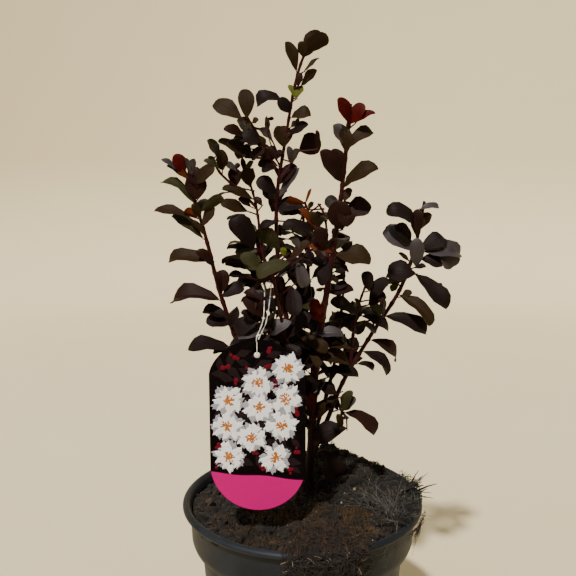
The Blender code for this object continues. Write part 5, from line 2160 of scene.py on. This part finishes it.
    def grow(self, habit: Habit, number: int) -> None:
        """Grow one shoot: pairs of leaves, each pair turned on from the last, smaller to the tip.

        Args:
            habit: How the shoot carries its leaves.
            number: The shoot's number, which seeds its chance.
        """
        rng = np.random.default_rng((SEED, number))
        path = self.paths[habit.shoot]
        total = lengths_along(path)[-1]
        shoot = next(each for each in SHOOTS if each.name == habit.shoot)
        is_marked = habit.shoot in MARKS
        camera_right = VIEW.axes()[0]
        place, count, nodes = habit.first * total, 0, []
        while place < total - max(0.010, shoot.unseen_tip - 0.004):
            share = (place / total - habit.first) / (1 - habit.first)
            thick = shoot.foot_radius + (shoot.tip_radius - shoot.foot_radius) * place / total
            size = habit.length * float(np.interp(share, *self.SIZE_ALONG))
            tone = habit.tip
            if share <= self.YOUNG_FROM:
                tone = Tone(rng.choice([each.value for each in SPRAY_TONES], p=SPRAY_WEIGHTS))
            around = math.radians(habit.facing + habit.turn * count + rng.normal(0, 10))
            for sign in (0.0, math.pi):
                at = place + (0.0022 if sign else 0.0) * rng.uniform(0, 1.5)
                ahead = points_at(path, np.array((at, at + 0.002)))
                tangent = unit(ahead[1] - ahead[0])
                side = unit(np.cross((0.0, 1.0, 0.0), tangent))
                other = np.cross(tangent, side)
                turn = around + sign + rng.normal(0, 0.2)
                out = side * math.cos(turn) + other * math.sin(turn)
                is_open = habit.shoot in self.OPEN_SHOOTS and abs(ahead[0][0]) > 0.030
                if is_open and abs(out @ camera_right) > self.SIDEWAYS:
                    continue
                if rng.random() < habit.twigs and 0.05 < share < 0.75:
                    self.twig(rng, ahead[0], tangent, out, 0.034, tone)
                else:
                    spread = habit.spread * (1 - 0.35 * share**3)
                    self.leaf(rng, ahead[0], tangent, out, spread, size, habit.droop * (1.15 - 0.6 * share),
                              tone, thick)
            nodes.append(place)
            count += 1
            place += habit.gap * (1 - 0.42 * share) * rng.uniform(0.85, 1.15)
        if not is_marked:
            self._tip(rng, habit, stretch(path, 0, 1 - shoot.unseen_tip / total, 100))
        self.nodes[habit.shoot] = np.array(nodes)

    def _tip(self, rng: np.random.Generator, habit: Habit, path: Array) -> None:
        """Add a tuft of small young leaves at the end of a shoot.

        Args:
            rng: The source of chance.
            habit: How the shoot carries its leaves.
            path: The part of the shoot that shows, foot to end.
        """
        tangent = unit(path[-1] - path[-4])
        side = unit(np.cross((0.0, 1.0, 0.0), tangent))
        other = np.cross(tangent, side)
        for number in range(4):
            turn = math.radians(habit.facing) + number * math.pi / 2 + rng.normal(0, 0.25)
            out = side * math.cos(turn) + other * math.sin(turn)
            size = habit.length * rng.uniform(0.42, 0.62)
            self.leaf(rng, path[-1], tangent, out, 30, size, 0.35, habit.tip, 0.0004)

    def stem(self, shoot: Shoot, start: float) -> Shape:
        """A shoot's stem, with ridges, a swelling at each node and fine noise on its taper.

        Args:
            shoot: The shoot.
            start: The share of its length where the stem starts.

        Returns:
            The closed stem, foot to tip.
        """
        path = self.paths[shoot.name]
        total = lengths_along(path)[-1]
        end = 1.0 - shoot.unseen_tip / total
        count = max(24, int(total * (end - start) / 0.0016))
        line = stretch(path, start, end, count)
        along = np.linspace(start, end, count)
        radius = shoot.foot_radius + (shoot.tip_radius - shoot.foot_radius) * along
        nodes = self.nodes.get(shoot.name, np.array((0.0,)))
        swell = np.exp(-((along[:, None] * total - nodes[None]) / 0.0013)**2).sum(axis=1)
        return self._bark(line, radius * (1 + 0.28 * np.minimum(swell, 1)), along * total, 0.05)

    def _bark(self, line: Array, radius: Array, along: Array, rough: float) -> Shape:
        """A stem's skin: radius times (1 + 0.05 * cos of four ridges + rough * noise).

        Args:
            line: The stem's middle line.
            radius: Its radius at each point of the line.
            along: The distance of each point along the stem.
            rough: The share of the radius by which noise lifts the bark.

        Returns:
            The closed skin.
        """
        angles = circle(self.BARK_SIDES)
        ridges = 0.05 * np.cos(4 * angles[None] + 40 * along[:, None])
        round_it = stacked(np.cos(angles), np.sin(angles)) * 0.004
        places = np.concatenate([
            np.broadcast_to(round_it, (len(line), *round_it.shape)),
            np.broadcast_to(0.35 * along[:, None, None], (len(line), len(angles), 1))], axis=-1)
        uneven = rough * Noise(SEED + 5).layered(places, 0.0030, 3)
        return tubes(line[None], (radius[:, None] * (1 + ridges + uneven))[None], self.BARK_SIDES)

    def trunk(self) -> Shape:
        """The trunk: a taper with a lobed root flare at its flat foot.

        Returns:
            The closed trunk.
        """
        path = self.paths["right_centre"]
        line = stretch(path, 0, TRUNK_SHARE + 0.012, 70)
        height = line[:, 2] - line[0, 2]
        flare = 0.0030 * np.exp(-height / 0.0056)
        shape = self._bark(line, 0.0036 * (1 - 0.10 * height / height[-1]) + flare, height, 0.12)
        low = shape.points[:, 2] < line[0, 2]
        shape.points[low, 2] = line[0, 2]
        return shape

    def build(self, maker: Maker) -> None:
        """Grow the plant and make its pieces.

        Args:
            maker: Puts the pieces into the scene.
        """
        for number, habit in enumerate(HABITS):
            self.place_marks(habit.shoot, np.random.default_rng((SEED, 99, number)))
        for number, habit in enumerate(HABITS):
            self.grow(habit, number)
        bark = StemBark()
        maker.piece("trunk_bark", self.trunk(), bark, ["trunk"], 60)
        for shoot in SHOOTS:
            start = TRUNK_SHARE if not shoot.parent else 0.0
            solids = ["bough_" + shoot.name] if shoot.bare_share > 0 else MASSES
            maker.piece("stem_" + shoot.name, self.stem(shoot, start), bark, solids, 60)
        twigs = np.stack(self.twigs)
        thin = np.linspace(0.0008, 0.0004, twigs.shape[1])
        maker.piece("side_twigs", tubes(twigs, np.broadcast_to(thin, twigs.shape[:2]), 6), bark,
                    MASSES, 60)
        ends = np.array([(start, end) for start, end in self.stalks])
        share = np.linspace(-0.15, 1.25, 4)[None, :, None]
        stalks = ends[:, :1] + (ends[:, 1:] - ends[:, :1]) * share
        long = np.clip(np.linalg.norm(ends[:, 1] - ends[:, 0], axis=1) / 0.005 - 0.6, 0, 1)
        slim = np.array((0.00050, 0.00042, 0.00040, 0.00030)) * (1 + 0.6 * long[:, None])
        maker.piece("leaf_stalks", tubes(stalks, slim, 5), bark, MASSES, 60)
        cutter = LeafCutter()
        for skin in LEAF_SKINS:
            chosen = [leaf for leaf in self.leaves if leaf.tone is skin.tone]
            if chosen:
                maker.piece("leaves_" + skin.tone.value, cutter.cut(chosen), skin, MASSES, 50)


MASSES = [
    "foliage_" + name for name in (
        "core_right", "right_centre_top", "core_left", "centre_middle", "centre_top", "centre_left",
        "left_lower", "left_top", "left_inner_lower", "left_inner_top", "far_left", "right_lower",
        "right_middle", "right_top", "right_inner", "low_right", "low_inner", "front", "front_left",
        "inner_right", "back_lower", "back_top", "back_left", "back_right")]


@dataclass
class Label:
    """The hanging label: a card with a plain printed pattern, and its thread."""

    low: Vector
    high: Vector
    shoulder: float = 0.2665
    band_line: float = 0.1942
    hole_radius: float = 0.0022
    hole_drop: float = 0.0108
    proud: float = 0.00006
    blossom_apart: float = 0.0172
    blossom_inset: float = 0.0112
    stamens: int = 34
    stamen_size: tuple[float, float] = (0.00095, 0.00055)
    sprig_size: tuple[float, float] = (0.0062, 0.0030)

    PETAL_RINGS = ((9, 0.0078, 0.0026, 0.00008), (8, 0.0050, 0.0030, 0.00012), (6, 0.0026, 0.0022, 0.00016))

    @property
    def half(self) -> float:
        """Half the label's width."""
        return (self.high.x - self.low.x) / 2

    @property
    def middle(self) -> float:
        """The x of the label's middle."""
        return (self.high.x + self.low.x) / 2

    def foot_line(self, columns: Array) -> Array:
        """The lower edge: a half circle as wide as the label."""
        inside = np.clip(self.half**2 - (columns - self.middle)**2, 0, None)
        return self.low.z + self.half - np.sqrt(inside)

    def top_line(self, columns: Array) -> Array:
        """The upper edge: an arch whose rise is (1 - x²) to the power 0.62."""
        share = np.clip(1 - ((columns - self.middle) / self.half)**2, 0, 1)
        return self.shoulder + (self.high.z - self.shoulder) * share**0.62

    def columns(self, count: int, reach: float = 1.0) -> Array:
        """The x of columns across the label, closer together at its edges."""
        return self.middle + reach * self.half * np.sin(np.linspace(-math.pi / 2, math.pi / 2, count))

    def band_top(self, columns: Array) -> Array:
        """The line between band and picture: a slope with two shallow waves."""
        share = (columns - self.middle) / self.half
        return self.band_line - 0.0026 * share + 0.0006 * np.sin(5.2 * share + 0.8)

    def card(self) -> Shape:
        """The plain card, just smaller than what is printed on it.

        Returns:
            The closed card.
        """
        columns = self.columns(49, 0.994)
        low, high = self.foot_line(columns) + 0.0002, self.top_line(columns) - 0.0002
        return slab(columns, low, high, self.low.y, self.high.y, 24)

    def build(self, maker: Maker) -> None:
        """Make the card, its inks and its thread.

        Args:
            maker: Puts the pieces into the scene.
        """
        front = self.low.y - self.proud
        columns = self.columns(61)
        line, foot = self.band_top(columns), self.foot_line(columns)
        top = np.maximum(self.top_line(columns), line + 0.001)
        self._pierce(self._put(maker, "label_card", self.card(), "label_white", 30), maker)
        band = slab(columns, foot, np.maximum(line, foot + 0.0002), front, self.low.y)
        self._put(maker, "label_band", band, "label_band", 30)
        ground = slab(columns, line, top, front, self.low.y)
        self._pierce(self._put(maker, "label_ground", ground, "label_ground", 30), maker)
        self._motifs(maker)
        self._thread(maker)

    @staticmethod
    def _put(maker: Maker, name: str, shape: Shape, ink: str, crease: float = 50) -> bpy.types.Object:
        """Make one piece of the label in one of its inks."""
        return maker.piece(name, shape, INKS[ink], ["label_tag"], crease)

    def _pierce(self, card: bpy.types.Object, maker: Maker) -> None:
        """Cut the round hole through a plate of the label.

        Args:
            card: The plate.
            maker: Cuts it.
        """
        centre = np.array((self.middle, 0.0, self.high.z - self.hole_drop))
        path = np.array((centre + (0, self.low.y - 0.004, 0),
                         centre + (0.00001, self.high.y + 0.004, 0)))[None]
        maker.pierce(card, tubes(path, np.full((1, 2), self.hole_radius), 24))

    def _spots(self, rng: np.random.Generator, tries: int, apart: float, inset: float, front: float,
               clear: Sequence[Array] = ()) -> Array:
        """Chance places on the picture that keep apart from each other and in from its edges.

        Args:
            rng: The source of chance.
            tries: How many places are drawn.
            apart: Least distance between two that are kept.
            inset: Least distance from an edge.
            front: Their y.
            clear: More places that they keep apart from.

        Returns:
            The places that are kept.
        """
        kept: list[Array] = []
        across = rng.uniform(-1, 1, tries) * (self.half - inset) + self.middle
        up = rng.uniform(self.band_line, self.high.z, tries)
        free = (up > self.band_top(across) + inset) & (up < self.top_line(across) - inset)
        for place in stacked(across, front, up)[free]:
            if all(np.linalg.norm(place - other) > apart for other in (*kept, *clear)):
                kept.append(place)
        return np.array(kept)

    def _whorl(self, rng: np.random.Generator, spots: Array, count: int, reach: float, size: float,
               proud: float) -> Shape:
        """A ring of ruffled lobes round each blossom's middle.

        Args:
            rng: The source of chance.
            spots: The middles of the blossoms.
            count: How many lobes each has.
            reach: How far out they sit.
            size: Half their length.
            proud: How far they stand in front of the middles.

        Returns:
            The lobes.
        """
        around = circle(LOBE_SIDES)
        ruffled = 1 + 0.10 * np.cos(3 * around) + 0.16 * np.cos(5 * around + 1) + 0.12 * np.cos(7 * around)
        angle = rng.uniform(0, math.tau, (len(spots), 1)) + circle(count)
        angle = (angle + rng.normal(0, 0.16, angle.shape)).ravel()
        out = stacked(np.cos(angle), 0.0, np.sin(angle))
        middle = np.repeat(spots, count, axis=0) + out * reach * rng.uniform(0.84, 1.12, (len(angle), 1))
        middle[:, 1] -= proud + rng.uniform(0, 0.00006, len(angle))
        sizes = size * np.array((1.15, 0.85)) * rng.uniform(0.75, 1.2, (len(angle), 1))
        return lenses(middle, angle + rng.normal(0, 0.5, len(angle)), sizes, 0.00024, ruffled)

    def _motifs(self, maker: Maker) -> None:
        """Make a plain pattern: ruffled blossoms with golden hearts, clusters of buds, and slim leaves.

        Args:
            maker: Puts the pieces into the scene.
        """
        rng = np.random.default_rng(SEED + 9)
        front = self.low.y - 2 * self.proud
        hole = np.array((self.middle, front, self.high.z - self.hole_drop))
        corner = np.array((self.middle - 0.8 * self.half, front, self.high.z - 0.012))
        spots = self._spots(rng, 2500, self.blossom_apart, self.blossom_inset, front, (hole, corner))
        back = self._whorl(rng, spots, 14, 0.0080, 0.0029, 0.0)
        self._put(maker, "label_blossom_shades", back, "label_petal_shade")
        lobes = [self._whorl(rng, spots, *ring) for ring in self.PETAL_RINGS]
        self._put(maker, "label_blossoms", Shape.joined(lobes), "label_petal")
        angle = rng.uniform(0, math.tau, len(spots) * self.stamens)
        out = stacked(np.cos(angle), 0.0, np.sin(angle))
        hearts = np.repeat(spots, self.stamens, axis=0) + out * rng.uniform(0.0004, 0.0040, (len(angle), 1))
        hearts[:, 1] -= 0.00040
        dots = np.ones(10)
        grain = np.tile(self.stamen_size, (len(hearts), 1))
        self._put(maker, "label_hearts", lenses(hearts, angle, grain, 0.00012, dots), "label_gold")
        bunches = self._spots(rng, 700, 0.0100, 0.0042, front)
        clear = np.linalg.norm(bunches[:, None] - spots[None], axis=-1).min(axis=1) > 0.0100
        clear &= np.linalg.norm(bunches - hole, axis=1) > 0.0050
        buds = np.repeat(bunches[clear], 3, axis=0)
        buds = buds + rng.uniform(-0.0024, 0.0024, buds.shape) * (1, 0, 1)
        round_sizes = np.repeat(rng.uniform(0.0010, 0.0018, (len(buds), 1)), 2, axis=1)
        buds = lenses(buds, np.zeros(len(buds)), round_sizes, 0.0003, dots)
        self._put(maker, "label_buds", buds, "label_bud")
        around = circle(LOBE_SIDES)
        pointed = 1 / (np.abs(np.cos(around)) + np.abs(np.sin(around)))
        places = self._spots(rng, 900, 0.0058, 0.0064, front + 0.00004)
        tilt = rng.uniform(0, math.pi, len(places))
        sizes = np.array(self.sprig_size) * rng.uniform(0.7, 1.1, (len(places), 1))
        self._put(maker, "label_sprigs", lenses(places, tilt, sizes, 0.00008, pointed), "label_sprig")

    def _thread(self, maker: Maker) -> None:
        """Make the two-strand thread: a loop through the hole and round the front shoot, and its knot.

        Args:
            maker: Puts the pieces into the scene.
        """
        low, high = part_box("label_tie")
        hole = np.array((self.middle, (self.low.y + self.high.y) / 2, self.high.z - self.hole_drop))
        stem = np.array((float(low.x + high.x) / 2, float(high.y) - 0.0027, float(high.z) - 0.0015))
        wide = 0.0022
        points = np.array((
            hole, hole + (0.0, -0.0014, 0.0030), hole + (0.0, -0.0016, 0.0080), hole + (0.0, -0.0014, 0.0128),
            0.5 * (hole + stem) + (0.0006, -0.0030, 0.0010), stem + (-wide, -0.0010, -0.0012),
            stem + (-0.4 * wide, wide, 0.0010), stem + (0.7 * wide, 0.8 * wide, 0.0010),
            stem + (wide, -0.0012, -0.0012), 0.5 * (hole + stem) + (0.0026, 0.0010, -0.0010),
            hole + (0.0004, 0.0028, 0.0090), hole + (0.0, 0.0014, 0.0012)))
        around = np.vstack([points[-1:], points, points[:2]])
        path = smooth_path(around)[FINE_STEPS:-FINE_STEPS]
        line = stretch(path, 0, 1, 260)
        _, side, other = cross_axes(line[None])
        twist = lengths_along(line)[:, None] * math.tau / 0.014
        strands = []
        for phase in (0.0, math.pi):
            spoke = side[0] * np.cos(twist + phase) + other[0] * np.sin(twist + phase)
            strands.append(line + 0.00016 * spoke)
        thread = tubes(np.stack(strands), np.full((2, len(line)), 0.00022), 6)
        knot = np.array((hole + (0.0, -0.0006, 0.0),))
        bead = lenses(knot, np.zeros(1), np.full((1, 2), 0.0021), 0.0009, np.ones(24))
        for name, shape in (("tie_thread", thread), ("tie_bead", bead)):
            maker.piece(name, shape, INKS["tie_white"], ["label_tie"], 60)


@dataclass
class Studio:
    """The plain pale studio: a round floor that curves up into a low wall, light and camera."""

    floor_radius: float = 1.7
    curve: float = 0.5
    wall_height: float = 1.6

    def build(self, maker: Maker) -> None:
        """Make the floor, the lights and the camera.

        Args:
            maker: Puts the floor into the scene.
        """
        bends = np.radians(np.linspace(0, 90, 16))
        profile = np.concatenate([
            [(0.02, 0.0)],
            stacked(self.floor_radius + self.curve * np.sin(bends), self.curve * (1 - np.cos(bends))),
            [(self.floor_radius + self.curve, self.wall_height)]])
        shape = turned(profile, 96)
        shape.points[:, 2] -= 0.0002
        inside = np.abs(shape.triangles - (len(shape.points) - 1)).min(axis=1) > 0
        shape.triangles = shape.triangles[inside]
        floor = maker.mesh_object("studio_floor", shape, 80, False)
        floor.data.materials.append(maker.material(Backdrop()))
        self._light("key_sun", "SUN", 5.0, (0.20, 0.60, -0.78), (1.0, 0.965, 0.90), angle=math.radians(3))
        self._light("fill_soft", "AREA", 6.0, (0.75, 0.60, -0.35), (1.0, 0.98, 0.94), size=1.4)
        world = bpy.data.worlds.new("studio_sky")
        world.use_nodes = True
        world.node_tree.nodes["Background"].inputs["Color"].default_value = (1.0, 0.97, 0.90, 1.0)
        world.node_tree.nodes["Background"].inputs["Strength"].default_value = 0.42
        bpy.context.scene.world = world
        self._camera()

    def _light(self, name: str, kind: str, energy: float, aim: Colour, colour: Colour, **more: float) -> None:
        """Add a light that shines along a direction, from far enough away.

        Args:
            name: The light's name.
            kind: SUN or AREA.
            energy: Its strength.
            aim: The direction that it shines in.
            colour: Its colour.
            more: Further settings of the light.
        """
        light = bpy.data.lights.new(name, kind)
        light.energy = energy
        light.color = colour
        for key, value in more.items():
            setattr(light, key, value)
        made = bpy.data.objects.new(name, light)
        direction = Vector(aim).normalized()
        made.location = Vector((0.0, 0.0, 0.3)) - direction * 1.5
        made.rotation_euler = direction.to_track_quat("-Z", "Y").to_euler()
        bpy.context.scene.collection.objects.link(made)

    def _camera(self) -> None:
        """Place the camera at the fitted point, turned by yaw, pitch and roll."""
        data = bpy.data.cameras.new("photo_camera")
        data.lens = VIEW.focal
        data.sensor_width = VIEW.film
        camera = bpy.data.objects.new("photo_camera", data)
        right, up, ahead = VIEW.axes()
        turn = Matrix((right, up, -ahead)).transposed().to_4x4()
        camera.matrix_world = Matrix.Translation(VIEW.eye) @ turn
        bpy.context.scene.collection.objects.link(camera)
        bpy.context.scene.camera = camera


def main() -> None:
    """Build every sub-assembly in order, then the studio."""
    logging.basicConfig(level=logging.INFO, format="%(name)s %(message)s")
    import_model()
    maker = Maker()
    _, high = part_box("pot")
    pot = Pot(rim_radius=high.x, height=high.z)
    pot.build(maker)
    bed = Bed(pot)
    bed.build(maker)
    mat_of_roots(bed, maker)
    tuft_of_straw(bed, maker)
    tag_low, tag_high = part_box("label_tag")
    keep_out = (np.array((tag_low.x - TAG_ROOM, tag_low.y - TAG_ROOM, 0.0)),
                np.array((tag_high.x + TAG_ROOM, tag_high.y + TAG_ROOM, tag_high.z)))
    Plant(keep_out).build(maker)
    Label(tag_low, tag_high).build(maker)
    Studio().build(maker)


if __name__ == "__main__":
    main()
